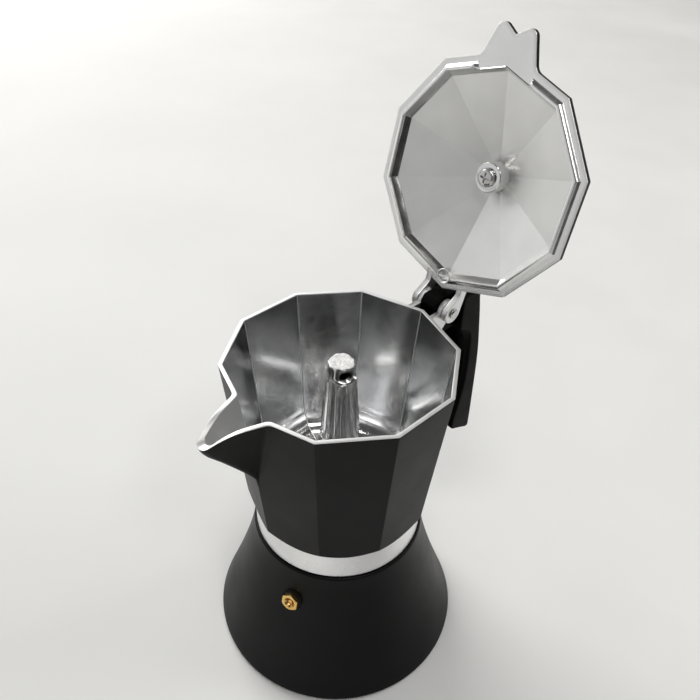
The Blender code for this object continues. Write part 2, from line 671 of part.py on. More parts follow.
def handle_outline(inset):
    """Side view of the handle as (y, z); the inset moves the back in to make the hollow."""
    top = HINGE_Z + HANDLE_TOP
    bridge = HINGE_Z - TONGUE_DEPTH
    low = top - HANDLE_LENGTH
    y = HINGE_Y
    back = [(y + 0.0175, top), (y + 0.0212, top - 0.0022), (y + 0.0226, top - 0.0075),
            (y + 0.0251, top - 0.021), (y + 0.0286, top - 0.045), (y + 0.0301, top - 0.075),
            (y + 0.0307, low + 0.0015), (y + 0.0295, low)]
    front = [(y + 0.0155, low + HANDLE_SLANT), (y + 0.0138, low + HANDLE_SLANT + 0.0020),
             (y + 0.0138, low + 0.0145), (y + 0.0165, low + 0.025), (y + 0.0190, low + 0.041),
             (y + 0.0188, low + 0.058), (y + 0.0168, bridge - 0.0045), (y + 0.0115, bridge)]
    if inset:
        back = [(p - inset, q) for p, q in back[2:-2]]
        front = [(p - 0.004, q) for p, q in front[2:-2]]
    return back, front


def make_handle(look):
    top = HINGE_Z + HANDLE_TOP
    bridge = HINGE_Z - TONGUE_DEPTH
    nose = HINGE_Y - TONGUE_REACH
    back, front = handle_outline(0)
    corner_z = math.sqrt(TONGUE_RADIUS ** 2 - TONGUE_REACH ** 2)
    corner_y = math.sqrt(TONGUE_RADIUS ** 2 - HANDLE_TOP ** 2)
    tongue = [(nose + 0.002, bridge), (nose, bridge + 0.002), (nose, HINGE_Z + corner_z),
              (HINGE_Y - corner_y, top)]
    handle = extruded("handle", back + front + tongue, -HANDLE_HALF_WIDTH, HANDLE_HALF_WIDTH)
    shoulder = HINGE_Y + EAR_RADIUS + 0.0030
    margin = 0.02
    for side in (1, -1):
        outline = [(nose - margin, bridge - margin), (shoulder, bridge - margin),
                   (shoulder, top + margin), (nose - margin, top + margin)]
        ends = side * TONGUE_HALF_WIDTH, side * (HANDLE_HALF_WIDTH + margin)
        cut(handle, extruded("shoulder", outline, *ends))
    back, front = handle_outline(HANDLE_SHELL)
    pocket = HANDLE_HALF_WIDTH - HANDLE_SHELL
    cut(handle, extruded("hollow", back + front, -pocket, pocket))
    drill_pin_holes(handle, HANDLE_HALF_WIDTH)
    return finish(handle, look)


def make_pins(look):
    head = EAR_OUTSIDE + GAP
    wide = HINGE_PIN_RADIUS + 0.0010
    half = [(HINGE_PIN_RADIUS, head), (wide, head), (wide, head + 0.0005),
            (wide - 0.0006, head + 0.0010), (0, head + 0.0010)]
    profile = [(radius, -height) for radius, height in reversed(half)] + half
    turn = Matrix.Translation((0, HINGE_Y, HINGE_Z)) @ Matrix.Rotation(math.pi / 2, 4, "Y")
    finish(turned("hinge_pin", profile, 20, turn), look)
    y, z = handle_pin_place()
    finish(rod("handle_pin", HANDLE_PIN_RADIUS, (-LUG_OUTSIDE, y, z), (LUG_OUTSIDE, y, z), 16), look)


# ---- lid, modelled shut about its hinge ---------------------------------------------------
def tab_outline():
    """Half of the two-lobed thumb tab, as (x, y) in front of the lid."""
    front = -LID_RADIUS
    lobe = 0.0031
    lobe_x = TAB_HALF_WIDTH * 0.47
    lobe_y = front - TAB_REACH + lobe
    side = [(TAB_HALF_WIDTH, front * FACET_COS + 0.0048), (TAB_HALF_WIDTH, front * FACET_COS + 0.0028),
            (TAB_HALF_WIDTH * 0.9, front * FACET_COS + 0.0012)]
    tip = arc((lobe_x, lobe_y), lobe, -12, -130, 6)
    return side + tip + [(0.0004, front - TAB_REACH * 0.63)]


def make_lid(looks, hinge):
    cone_foot = RIM_BORE - 0.0012 - BEAD_WIDTH
    bead_out = RIM_BORE - 0.0012
    z0, top = LID_BOTTOM, LID_BOTTOM + LID_THICKNESS
    apex = z0 + LID_RECESS + LID_RISE
    seat_radius = 0.0085
    slope = LID_RISE / cone_foot
    outside = LID_SHELL * math.hypot(1, slope)
    seat_z = apex + LID_SHELL * 0.8
    boss_low, hole = apex - BOSS_LENGTH, SCREW_RADIUS + GAP
    boss_root = [(x / share * BOSS_RADIUS, y / share * BOSS_RADIUS, apex - slope * BOSS_RADIUS / share)
                 for x, y, share in ((x, y, math.hypot(x, y)) for x, y, _ in ring(1.0, 0.0, SIDES))]
    rings = [ring(hole, boss_low), ring(BOSS_RADIUS - 0.0006, boss_low),
             ring(BOSS_RADIUS, boss_low + 0.0006), boss_root]
    outline = [(cone_foot - 0.0005, z0 + LID_RECESS), (cone_foot, z0 - BEAD_HEIGHT + 0.0005),
               (cone_foot + 0.0006, z0 - BEAD_HEIGHT), (bead_out - 0.0006, z0 - BEAD_HEIGHT),
               (bead_out, z0 - BEAD_HEIGHT + 0.0005), (bead_out, z0), (LID_RADIUS, z0),
               (LID_RADIUS, top), (cone_foot + 0.0028, top),
               (cone_foot + 0.0012, z0 + LID_RECESS + outside - 0.0012 * slope),
               (seat_radius + 0.0006, apex + outside - seat_radius * slope)]
    rings += [ring(radius, height, SIDES) for radius, height in outline]
    rings += [ring(seat_radius, seat_z), ring(hole, seat_z)]
    place = Matrix.Translation((0, -HINGE_Y, -HINGE_Z))
    lid = lofted("lid", rings, True, place)

    half = tab_outline()
    outline = half + [(-x, y) for x, y in reversed(half)]
    add(lid, pressed("tab", outline, z0 + 0.0001, z0 + TAB_THICKNESS, place))

    ear_root = RIM_RADIUS - 0.0055
    ear_top = EAR_RADIUS + 0.0013
    for side in (1, -1):
        ear = arc((0, 0), EAR_RADIUS, -115, 90, 10)
        ear += [(ear_root - HINGE_Y, ear_top), (ear_root - HINGE_Y, LID_BOTTOM + 0.0002 - HINGE_Z),
                (RIM_RADIUS + 0.0005 - HINGE_Y, LID_BOTTOM + 0.0002 - HINGE_Z)]
        add(lid, extruded("ear", ear, side * EAR_INSIDE, side * EAR_OUTSIDE))
    reach = EAR_OUTSIDE + 0.005
    cut(lid, rod("pin_hole", HINGE_PIN_RADIUS + GAP, (-reach, 0, 0), (reach, 0, 0), 20))
    finish(lid, looks["satin_aluminium"], hinge)
    make_knob(looks, hinge, place, boss_low, seat_z)


def make_knob(looks, hinge, place, boss_low, seat_z):
    washer_low = seat_z + GAP
    washer_top = washer_low + 0.0008
    hole = SCREW_RADIUS + GAP
    washer = [(hole, washer_low), (0.0066, washer_low), (0.0066, washer_top), (hole, washer_top)]
    finish(turned("knob_washer", washer, FINE, place), looks["rubber"], hinge)
    low = washer_top + GAP
    screw_top = low + KNOB_HEIGHT * 0.55
    profile = [(hole, low), (0.0070, low), (0.0062, low + 0.0040), (0.0072, low + 0.0100),
               (KNOB_RADIUS, low + KNOB_HEIGHT - 0.0055), (KNOB_RADIUS, low + KNOB_HEIGHT - 0.0030),
               (KNOB_RADIUS - 0.0020, low + KNOB_HEIGHT), (0, low + KNOB_HEIGHT), (0, screw_top + GAP),
               (hole, screw_top + GAP)]
    finish(turned("knob", profile, SIDES * 2, place), looks["bakelite"], hinge)
    head_top = boss_low - GAP
    head_low = head_top - SCREW_HEAD_HEIGHT
    wide = SCREW_HEAD_RADIUS
    profile = [(0, head_low), (wide - 0.0010, head_low), (wide, head_low + 0.0010), (wide, head_top),
               (SCREW_RADIUS, head_top), (SCREW_RADIUS, screw_top), (0, screw_top)]
    screw = turned("knob_screw", profile, 24, place)
    arm, slot = SCREW_HEAD_RADIUS * 0.55, 0.0005
    quarter = [(arm, -slot), (arm, slot), (slot, slot)]
    turns = ((1, 0), (0, 1), (-1, 0), (0, -1))
    cross = [(x * c - y * d, x * d + y * c) for c, d in turns for x, y in quarter]
    cut(screw, pressed("cross", cross, head_low - 0.001, head_low + 0.0013, place))
    finish(screw, looks["steel"], hinge)


# ---- the whole pot ------------------------------------------------------------------------
def main():
    for old in list(bpy.data.objects):
        bpy.data.objects.remove(old)
    looks = {
        "coating": material("coating", (0.030, 0.031, 0.033), 0.55, 0.0),
        "steel": material("steel", (0.62, 0.62, 0.60), 0.25, 1.0),
        "brass": material("brass", (0.78, 0.52, 0.18), 0.28, 1.0),
        "rubber": material("rubber", (0.02, 0.02, 0.02), 0.80, 0.0),
        "silicone": material("silicone", (0.75, 0.75, 0.72), 0.60, 0.0),
        "bright_aluminium": material("bright_aluminium", (0.80, 0.80, 0.80), 0.25, 1.0),
        "satin_aluminium": material("satin_aluminium", (0.78, 0.78, 0.78), 0.40, 1.0),
        "bakelite": material("bakelite", (0.015, 0.015, 0.017), 0.35, 0.0),
    }
    make_boiler(looks["coating"])
    make_base_plate(looks["steel"])
    make_valve(looks)
    make_funnel(looks)
    make_seal(looks)
    make_chamber(looks["coating"])
    make_column(looks["bright_aluminium"])
    make_handle(looks["bakelite"])
    make_pins(looks["steel"])
    hinge = bpy.data.objects.new("lid_hinge", None)
    bpy.context.scene.collection.objects.link(hinge)
    hinge.location = (0, HINGE_Y, HINGE_Z)
    hinge.rotation_euler = (-LID_OPEN, 0, 0)
    make_lid(looks, hinge)


main()
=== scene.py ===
"""Looks of the moka pot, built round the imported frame: castings, lid, handle, hinge and valve.

Metres, +Z up, the spout along -Y and the handle along +Y. The lid stands open at rest.
"""

import json
from math import acos, atan2, cos, dist, hypot, pi, radians, sin, sqrt, tan

import bmesh
import bpy
from mathutils import Matrix, Vector


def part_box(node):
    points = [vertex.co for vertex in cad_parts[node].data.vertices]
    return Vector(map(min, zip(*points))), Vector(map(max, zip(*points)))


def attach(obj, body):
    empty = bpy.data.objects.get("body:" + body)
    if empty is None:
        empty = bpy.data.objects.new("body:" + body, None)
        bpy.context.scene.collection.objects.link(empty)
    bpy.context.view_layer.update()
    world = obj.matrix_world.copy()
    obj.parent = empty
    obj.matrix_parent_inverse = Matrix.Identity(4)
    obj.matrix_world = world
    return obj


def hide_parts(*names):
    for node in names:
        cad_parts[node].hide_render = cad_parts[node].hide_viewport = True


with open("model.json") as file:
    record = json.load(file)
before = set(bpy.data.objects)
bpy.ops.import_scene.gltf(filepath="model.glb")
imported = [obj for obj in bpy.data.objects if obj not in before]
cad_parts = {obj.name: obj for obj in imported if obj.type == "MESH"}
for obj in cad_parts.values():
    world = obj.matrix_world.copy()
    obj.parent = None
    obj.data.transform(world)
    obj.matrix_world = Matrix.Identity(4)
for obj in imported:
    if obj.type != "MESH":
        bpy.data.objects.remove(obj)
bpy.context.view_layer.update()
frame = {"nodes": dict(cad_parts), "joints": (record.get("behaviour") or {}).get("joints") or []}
nodes = frame["nodes"]
joints = {joint["name"]: joint for joint in frame["joints"]}

# ---- sizes, the same as the model's ----
GAP = 0.0003  # between pieces that touch
ON_AXIS = 1e-5  # the radius of a ring that closes a piece on its axis
SIDES = 10
HALF_TURN = pi / SIDES  # half the angle between two corners
FACET_COS = cos(HALF_TURN)
FACET_TAN = tan(HALF_TURN)

BASE_RADIUS, SHOULDER_RADIUS, BOILER_HEIGHT = 0.0636, 0.0422, 0.0735
BOILER_WALL, BOILER_FLOOR, FLARE_POWER, EDGE_HEIGHT = 0.0024, 0.0035, 1.3, 0.003
PLATE_RADIUS, PLATE_THICKNESS = 0.057, 0.0015

BAND_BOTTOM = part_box("upper_chamber")[0][2]
BAND_RADIUS, BAND_HEIGHT, BAND_FLARE, SKIRT_WALL = 0.041, 0.0147, 0.735, 0.0029
BAND_TOP = BAND_BOTTOM + BAND_HEIGHT
RIM = BAND_BOTTOM + 0.0989
RIM_RADIUS, FOOT_RADIUS, CHAMBER_WALL = 0.052, 0.04377, 0.0018
WALL_AT_CORNER = CHAMBER_WALL / FACET_COS
CHAMBER_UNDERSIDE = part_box("filter_plate")[1][2] + GAP
CHAMBER_FLOOR = CHAMBER_UNDERSIDE + 0.005
PLENUM_TOP = CHAMBER_UNDERSIDE + 0.002  # the hollow under the floor, above the filter plate
FLOOR_FILLET = 0.01
SKIRT_BORE = BAND_RADIUS - SKIRT_WALL
GASKET_BORE = 0.0285

THREAD_PITCH, THREAD_DEPTH, THREAD_TURNS = 0.003, 0.0012, 2.2
NECK_RADIUS = SKIRT_BORE - THREAD_DEPTH - GAP
NECK_BORE = NECK_RADIUS - 0.0033
NECK_TOP = BOILER_HEIGHT + 0.0125
THREAD_BOTTOM = BOILER_HEIGHT + 0.0016

COLUMN_FOOT, COLUMN_TOP, COLUMN_CAP = 0.0115, 0.0069, 0.0055
COLUMN_HEIGHT, COLUMN_FLUTES, FLUTE_DEPTH = 0.0742, 14, 0.0007
COLUMN_COLLAR, COLUMN_DOME = 0.0085, 0.004
COLUMN_SPIGOT = COLUMN_FOOT - 0.0022
OUTLET_BEARING = radians(-25)
OUTLET_RADIUS, OUTLET_DROP = 0.0028, 0.0043

SPOUT_REACH, SPOUT_HALF_WIDTH, SPOUT_TIP_RADIUS = 0.0222, 0.0116, 0.0036
SPOUT_DEPTH, SPOUT_WALL, CHANNEL_RISE = 0.0416, 0.0016, 0.0045
LIP_DROP = 0.004836
SPOUT_TAPER = 0.93  # of its width that the spout loses towards its foot

HINGE_Y, HINGE_Z = joints["lid_hinge"]["pos_m"][1:]
LID_OPEN = radians(joints["lid_hinge"]["range_deg"][1])
LUG_RADIUS, EAR_RADIUS, LUG_INSIDE, LUG_WIDTH, EAR_WIDTH = 0.005, 0.0053, 0.0046, 0.0026, 0.0028
EAR_INSIDE = LUG_INSIDE + LUG_WIDTH + GAP
TONGUE_HALF_WIDTH, TONGUE_RADIUS, TONGUE_REACH, TONGUE_DEPTH = 0.0043, 0.0076, 0.0066, 0.0155
PIN_RADIUS = 0.0014

HANDLE_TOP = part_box("handle")[1][2]
HANDLE_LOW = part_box("handle")[0][2]
HANDLE_HALF_WIDTH, HANDLE_SHELL, HANDLE_SLANT = 0.01, 0.0032, 0.0072

LID_BOTTOM = RIM + GAP
LID_RADIUS = RIM_RADIUS + 0.0007
LID_THICKNESS, LID_SHELL, LID_RISE, LID_RECESS = 0.003, 0.002, 0.0166, 0.0034
BEAD_HEIGHT, BEAD_WIDTH = 0.0018, 0.002
BEAD_OUT = RIM_RADIUS - WALL_AT_CORNER - 0.0012
TAB_REACH, TAB_HALF_WIDTH, TAB_LOBE = 0.0097, 0.0136, 0.0031
BOSS_RADIUS, BOSS_LENGTH = 0.00675, 0.0096
SCREW_RADIUS, SCREW_HEAD_RADIUS, SCREW_HEAD_HEIGHT = 0.002, 0.00425, 0.0022
KNOB_SEAT = 0.0085

VALVE_BEARING, VALVE_HEIGHT = radians(-70.5), 0.0555
VALVE_FLATS, VALVE_HEAD, SPOT_FACE = 0.008, 0.0026, 0.0005


# ---- shells: points and faces that are joined into one piece ----
def tube(rows, closed=True):
    """Quads between rings of points. A row is (points, zone), and the zone colours the band above it."""
    count = len(rows[0][0])
    points = [point for ring, _ in rows for point in ring]
    faces, zones = [], []
    last = len(rows) if closed else len(rows) - 1
    for i in range(last):
        low, high = i * count, (i + 1) % len(rows) * count
        for k in range(count):
            j = (k + 1) % count
            faces.append((low + k, low + j, high + j, high + k))
            zones.append(rows[i][1])
    if not closed:
        faces.append(tuple(reversed(range(count))))
        zones.append(rows[0][1])
        faces.append(tuple(range((len(rows) - 1) * count, len(rows) * count)))
        zones.append(rows[-1][1])
    return points, faces, zones


def band(zone, *rings):
    """Rows of one zone."""
    return [(ring, zone) for ring in rings]


def round_ring(reach, z, steps, from_y=False):
    """Points round Z at one height, from +X or from +Y; reach is a radius, or a function of the angle."""
    ring = []
    for k in range(steps):
        angle = 2 * pi * k / steps
        radius = reach(angle) if callable(reach) else reach
        x, y = radius * cos(angle), radius * sin(angle)
        ring.append((y, x, z) if from_y else (x, y, z))
    return ring


def turned(profile, steps, place=None):
    """A closed profile of (radius, height) turned about Z; a radius of 0 closes the end."""
    rows = [(round_ring(max(radius, ON_AXIS), height, steps, True), 0) for radius, height in profile]
    on_axis = profile[0][0] == 0 and profile[-1][0] == 0
    shell = tube(rows, closed=not on_axis)
    return moved(shell, place) if place is not None else shell


def moved(shell, matrix):
    points, faces, zones = shell
    return [tuple(matrix @ Vector(point)) for point in points], faces, zones


def inset_outline(outline, distance):
    """Move every side of a closed outline inwards by a distance."""
    count = len(outline)
    area = sum(outline[k][0] * outline[(k + 1) % count][1] - outline[(k + 1) % count][0] * outline[k][1]
               for k in range(count))
    turn = 1 if area > 0 else -1
    result = []
    for k in range(count):
        before, here, after = (Vector(outline[(k + step) % count]) for step in (-1, 0, 1))
        first, second = (here - before).normalized(), (after - here).normalized()
        normal = Vector((-first.y - second.y, first.x + second.x)) * turn
        scale = 2 * distance / max(normal.length_squared, 0.6)
        result.append(tuple(here + normal * scale))
    return result


def plate(outline, start, end, bevel, zone=0):
    """Extrude an outline of (y, z) between two depths along X, with rounded edges."""
    rows, steps = [], 4
    for sign, face in ((1, start), (-1, end)):
        side = []
        for k in range(steps + 1):
            angle = pi / 2 * k / steps
            depth = face + sign * bevel * (1 - cos(angle))
            side.append(([(depth, y, z) for y, z in inset_outline(outline, bevel * (1 - sin(angle)))], zone))
        rows += side[::sign]
    return tube(rows, closed=False)


def in_radians(*degrees):
    return [radians(angle) for angle in degrees]


def arc(centre, radius, start, end, steps):
    angles = (radians(start + (end - start) * k / steps) for k in range(steps + 1))
    return [(centre[0] + radius * cos(a), centre[1] + radius * sin(a)) for a in angles]


def swept(path, sizes, sides):
    """A round bar along a path, with a radius for each point."""
    rows = []
    for k, (point, size) in enumerate(zip(path, sizes)):
        ahead = Vector(path[min(k + 1, len(path) - 1)]) - Vector(path[max(k - 1, 0)])
        sideways = ahead.cross(Vector((0, 0, 1))).normalized()
        up = sideways.cross(ahead).normalized()
        turns = [2 * pi * i / sides for i in range(sides)]
        rows.append(([tuple(Vector(point) + size * (cos(t) * sideways + sin(t) * up)) for t in turns], 0))
    return tube(rows, closed=False)


def add(name, data):
    """A new object in the scene."""
    item = bpy.data.objects.new(name, data)
    bpy.context.scene.collection.objects.link(item)
    return item


def face_outwards(mesh, weld=False):
    """Turn every face outwards, after joining the points that coincide."""
    bm = bmesh.new()
    bm.from_mesh(mesh)
    if weld:
        bmesh.ops.remove_doubles(bm, verts=bm.verts, dist=2e-6)
    bmesh.ops.recalc_face_normals(bm, faces=bm.faces)
    bm.to_mesh(mesh)
    bm.free()


def build(name, shells, looks, body, replaced=(), sharp=28, modifier=None):
    """Join shells into one piece, shade it, give it its materials and let it ride a body."""
    points, faces, zones = [], [], []
    for shell_points, shell_faces, shell_zones in shells:
        start = len(points)
        points += shell_points
        faces += [tuple(index + start for index in face) for face in shell_faces]
        zones += shell_zones
    mesh = bpy.data.meshes.new(name)
    mesh.from_pydata(points, [], faces)
    for look in looks:
        mesh.materials.append(look)
    mesh.polygons.foreach_set("material_index", zones)
    face_outwards(mesh, weld=True)
    piece = add(name, mesh)
    if modifier:
        modifier(piece)
    shade(piece, sharp)
    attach(piece, body)
    if replaced:
        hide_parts(*replaced)


def shade(piece, sharp):
    piece.data.shade_smooth()
    piece.data.set_sharp_from_angle(angle=radians(sharp))
    weighted = piece.modifiers.new("flat_faces", "WEIGHTED_NORMAL")
    weighted.keep_sharp = True
    weighted.weight = 80


def cut(piece, shells):
    """Cut shells out of a piece, and apply it."""
    tools = []
    for points, faces, _ in shells:
        mesh = bpy.data.meshes.new("tool")
        mesh.from_pydata(points, [], faces)
        face_outwards(mesh)
        tools.append(add("tool", mesh))
        step = piece.modifiers.new("cut", "BOOLEAN")
        step.operation, step.solver, step.object = "DIFFERENCE", "EXACT", tools[-1]
    bpy.context.view_layer.update()
    result = bpy.data.meshes.new_from_object(piece.evaluated_get(bpy.context.evaluated_depsgraph_get()))
    piece.modifiers.clear()
    piece.data = result
    for tool in tools:
        bpy.data.objects.remove(tool)


# ---- materials ----
class Graph:
    """Small helper for one material's nodes."""

    def __init__(self, name, roughness, metallic, specular=0.5):
        self.material = bpy.data.materials.new(name)
        self.material.use_nodes = True
        self.tree = self.material.node_tree
        self.shader = self.tree.nodes["Principled BSDF"]
        self.shader.inputs["Roughness"].default_value = roughness
        self.shader.inputs["Metallic"].default_value = metallic
        self.shader.inputs["Specular IOR Level"].default_value = specular
        self.place = self.node("ShaderNodeTexCoord").outputs["Object"]

    def node(self, kind, **sockets):
        """Add a node; each keyword sets the input of that name."""
        result = self.tree.nodes.new(kind)
        for key, value in sockets.items():
            result.inputs[key.replace("_", " ")].default_value = value
        return result

    def link(self, source, target):
        self.tree.links.new(source, target)

    def noise(self, scale, detail=3.0, stretch=None):
        texture = self.node("ShaderNodeTexNoise", Scale=scale, Detail=detail, Roughness=0.55)
        place = self.place
        if stretch:
            mapping = self.node("ShaderNodeMapping", Scale=stretch)
            self.link(place, mapping.inputs["Vector"])
            place = mapping.outputs["Vector"]
        self.link(place, texture.inputs["Vector"])
        return texture.outputs["Fac"]

    def spread(self, noise, low, high):
        """Turn a noise into a number between low and high."""
        remap = self.node("ShaderNodeMapRange", From_Min=0.3, From_Max=0.7, To_Min=low, To_Max=high)
        self.link(noise, remap.inputs["Value"])
        return remap.outputs["Result"]

    def tones(self, noise, dark, light):
        """Let the colour drift between two tones."""
        share = self.spread(noise, 0.0, 1.0)
        mix = self.node("ShaderNodeMix")
        mix.data_type = "RGBA"
        self.link(share, mix.inputs[0])
        mix.inputs[6].default_value, mix.inputs[7].default_value = (*dark, 1.0), (*light, 1.0)
        self.link(mix.outputs[2], self.shader.inputs["Base Color"])

    def uneven(self, noise, low, high):
        """Let the roughness drift between two values."""
        self.link(self.spread(noise, low, high), self.shader.inputs["Roughness"])

    def bump(self, *heights):
        """A chain of bumps from (height, depth in metres, strength)."""
        previous = None
        for height, depth, strength in heights:
            bump = self.node("ShaderNodeBump", Distance=depth, Strength=strength)
            self.link(height, bump.inputs["Height"])
            if previous:
                self.link(previous, bump.inputs["Normal"])
            previous = bump.outputs["Normal"]
        self.link(previous, self.shader.inputs["Normal"])


def coating_look(name, dark, light, roughness):
    """Matt powder coat: fine orange peel, faint cloudiness and rubbed patches."""
    g = Graph(name, roughness, 0.0, 0.13)
    g.tones(g.noise(26.0, 4.0), dark, light)
    g.uneven(g.noise(34.0, 5.0), roughness - 0.05, roughness + 0.07)
    g.bump((g.noise(2600.0, 2.0), 0.00003, 0.55), (g.noise(420.0, 2.0), 0.00004, 0.25))
    return g.material


def metal_look(name, dark, light, low, high, stretch, grain, strength):
    """Bare metal with a directional or even grain and uneven polish."""
    g = Graph(name, low, 1.0)
    g.tones(g.noise(60.0, 4.0), dark, light)
    g.uneven(g.noise(240.0, 5.0), low, high)
    g.bump((g.noise(grain, 3.0, stretch), 0.00002, strength))
    return g.material


def plastic_look(name, dark, light, roughness, grain=1800.0):
    """Moulded plastic or rubber with a fine grain."""
    g = Graph(name, roughness, 0.0, 0.05)
    g.tones(g.noise(50.0, 3.0), dark, light)
    g.uneven(g.noise(70.0, 4.0), roughness - 0.04, roughness + 0.08)
    g.bump((g.noise(grain, 2.0), 0.00002, 0.4))
    return g.material


def cast_look(name):
    """Rough as-cast aluminium, as on the column's cap."""
    g = Graph(name, 0.5, 0.85)
    g.tones(g.noise(900.0, 3.0), (0.6, 0.6, 0.59), (0.92, 0.92, 0.91))
    g.uneven(g.noise(700.0, 3.0), 0.38, 0.6)
    g.bump((g.noise(1100.0, 3.0), 0.0003, 0.8))
    return g.material


looks = {
    "coating": coating_look("powder_coat", (0.0026, 0.0026, 0.003), (0.0044, 0.0045, 0.005), 0.4),
    "facets": coating_look("facet_coat", (0.0048, 0.005, 0.0052), (0.0078, 0.008, 0.0083), 0.4),
    "polished": metal_look("polished_aluminium", (0.68, 0.685, 0.69), (0.78, 0.78, 0.78),
        0.14, 0.21, (1.0, 1.0, 0.05), 700.0, 0.07),
    "satin": metal_look("satin_aluminium", (0.76, 0.76, 0.75), (0.83, 0.83, 0.82),
        0.42, 0.5, None, 2400.0, 0.3),
    "buffed": metal_look("buffed_aluminium", (0.82, 0.82, 0.81), (0.9, 0.9, 0.89),
        0.2, 0.27, None, 1200.0, 0.1),
    "mirror": metal_look("mirror_aluminium", (0.76, 0.76, 0.75), (0.84, 0.84, 0.83),
        0.08, 0.13, None, 1200.0, 0.04),
    "turned": metal_look("turned_aluminium", (0.82, 0.82, 0.82), (0.9, 0.9, 0.9),
        0.26, 0.36, (0.02, 0.02, 1.0), 3800.0, 0.4),
    "bright": metal_look("bright_aluminium", (0.78, 0.78, 0.78), (0.9, 0.9, 0.9),
        0.08, 0.14, None, 900.0, 0.08),
    "cast": cast_look("cast_aluminium"),
    "steel": metal_look("stainless_steel", (0.5, 0.5, 0.49), (0.66, 0.66, 0.65),
        0.18, 0.32, None, 1600.0, 0.3),
    "disc": metal_look("induction_steel", (0.42, 0.42, 0.42), (0.55, 0.55, 0.54),
        0.28, 0.42, (1.0, 0.02, 1.0), 2200.0, 0.45),
    "brass": metal_look("brass", (0.72, 0.43, 0.13), (0.9, 0.62, 0.24), 0.14, 0.28, None, 1500.0, 0.3),
    "black_plastic": plastic_look("black_plastic", (0.0008, 0.0008, 0.0008), (0.0014, 0.0013, 0.0013), 0.44),
    "rubber": plastic_look("rubber", (0.012, 0.012, 0.012), (0.022, 0.022, 0.022), 0.75, 900.0),
    "silicone": plastic_look("silicone", (0.62, 0.61, 0.58), (0.74, 0.73, 0.7), 0.55, 700.0),
}


# ---- camera, floor and light ----
def make_camera():
    azimuth, elevation, roll = radians(45.5), radians(38.87), radians(1.9)
    back = Vector((sin(azimuth) * cos(elevation), -cos(azimuth) * cos(elevation), sin(elevation)))
    right = Vector((cos(azimuth), sin(azimuth), 0.0))
    up = back.cross(right)
    turned_right = cos(roll) * right + sin(roll) * up
    turned_up = cos(roll) * up - sin(roll) * right
    data = bpy.data.cameras.new("camera")
    data.lens, data.sensor_width = 37.6, 36.0
    data.clip_start, data.clip_end = 0.01, 20.0
    camera = add("camera", data)
    turn = Matrix((turned_right, turned_up, back)).transposed().to_4x4()
    camera.matrix_world = Matrix.Translation((0.17339, -0.16554, 0.37024)) @ turn
    bpy.context.scene.camera = camera


def make_floor():
    mesh = bpy.data.meshes.new("floor")
    half = 4.0
    mesh.from_pydata(
        [(-half, -half, 0), (half, -half, 0), (half, half, 0), (-half, half, 0)], [], [(0, 1, 2, 3)])
    g = Graph("pale_board", 0.7, 0.0, 0.3)
    g.tones(g.noise(6.0, 3.0), (0.88, 0.88, 0.865), (0.93, 0.93, 0.915))
    g.uneven(g.noise(12.0, 3.0), 0.62, 0.78)
    g.bump((g.noise(260.0, 3.0), 0.0002, 0.15))
    mesh.materials.append(g.material)
    add("floor", mesh)


def make_board(name, middle, size, colour):
    """Something standing out of the picture, seen only as a reflection in the metal."""
    mesh = bpy.data.meshes.new(name)
    bm = bmesh.new()
    bmesh.ops.create_cube(bm, size=1.0, matrix=Matrix.Translation(middle) @ Matrix.Diagonal((*size, 1.0)))
    bm.to_mesh(mesh)
    bm.free()
    g = Graph(name, 0.6, 0.0, 0.3)
    g.tones(g.noise(9.0, 3.0, (1.0, 1.0, 8.0)), colour, tuple(0.6 * channel for channel in colour))
    mesh.materials.append(g.material)
    board = add(name, mesh)
    board.visible_camera = False


def soft_light(name, place, aim, width, height, power, tint):
    data = bpy.data.lights.new(name, "AREA")
    data.shape, data.size, data.size_y = "RECTANGLE", width, height
    data.energy, data.color = power, tint
    light = add(name, data)
    light.location = place
    light.rotation_euler = (Vector(aim) - Vector(place)).to_track_quat("-Z", "Y").to_euler()


def make_world():
    """A dim room: pale towards the window on -X, dark behind the camera and overhead."""
    world = bpy.data.worlds.new("room")
    world.use_nodes = True
    tree = world.node_tree
    add_node, link = tree.nodes.new, tree.links.new
    background = tree.nodes["Background"]
    place = add_node("ShaderNodeTexCoord")
    split = add_node("ShaderNodeSeparateXYZ")
    link(place.outputs["Generated"], split.inputs["Vector"])
    levels = []
    # Brightness by direction: first from -X to +X, then from level to straight up.
    for axis, stops in (("X", ((-1.0, 1.0), (-0.1, 1.0), (0.25, 0.8), (0.5, 0.07), (1.0, 0.2))),
                        ("Z", ((-1.0, 0.9), (0.25, 1.0), (0.55, 0.85), (0.8, 0.16), (1.0, 0.08)))):
        ramp = add_node("ShaderNodeValToRGB")
        share = add_node("ShaderNodeMapRange")
        share.inputs["From Min"].default_value = -1.0
        link(split.outputs[axis], share.inputs["Value"])
        link(share.outputs["Result"], ramp.inputs["Fac"])
        elements = ramp.color_ramp.elements
        while len(elements) < len(stops):
            elements.new(0.5)
        for element, (direction, level) in zip(elements, stops):
            element.position = (direction + 1) / 2
            element.color = (level, level, level, 1)
        levels.append(ramp.outputs["Color"])
    product = add_node("ShaderNodeMix")
    product.data_type, product.blend_type = "RGBA", "MULTIPLY"
    product.inputs[0].default_value = 1.0
    link(levels[0], product.inputs[6])
    link(levels[1], product.inputs[7])
    link(product.outputs[2], background.inputs["Color"])
    background.inputs["Strength"].default_value = 0.66
    bpy.context.scene.world = world


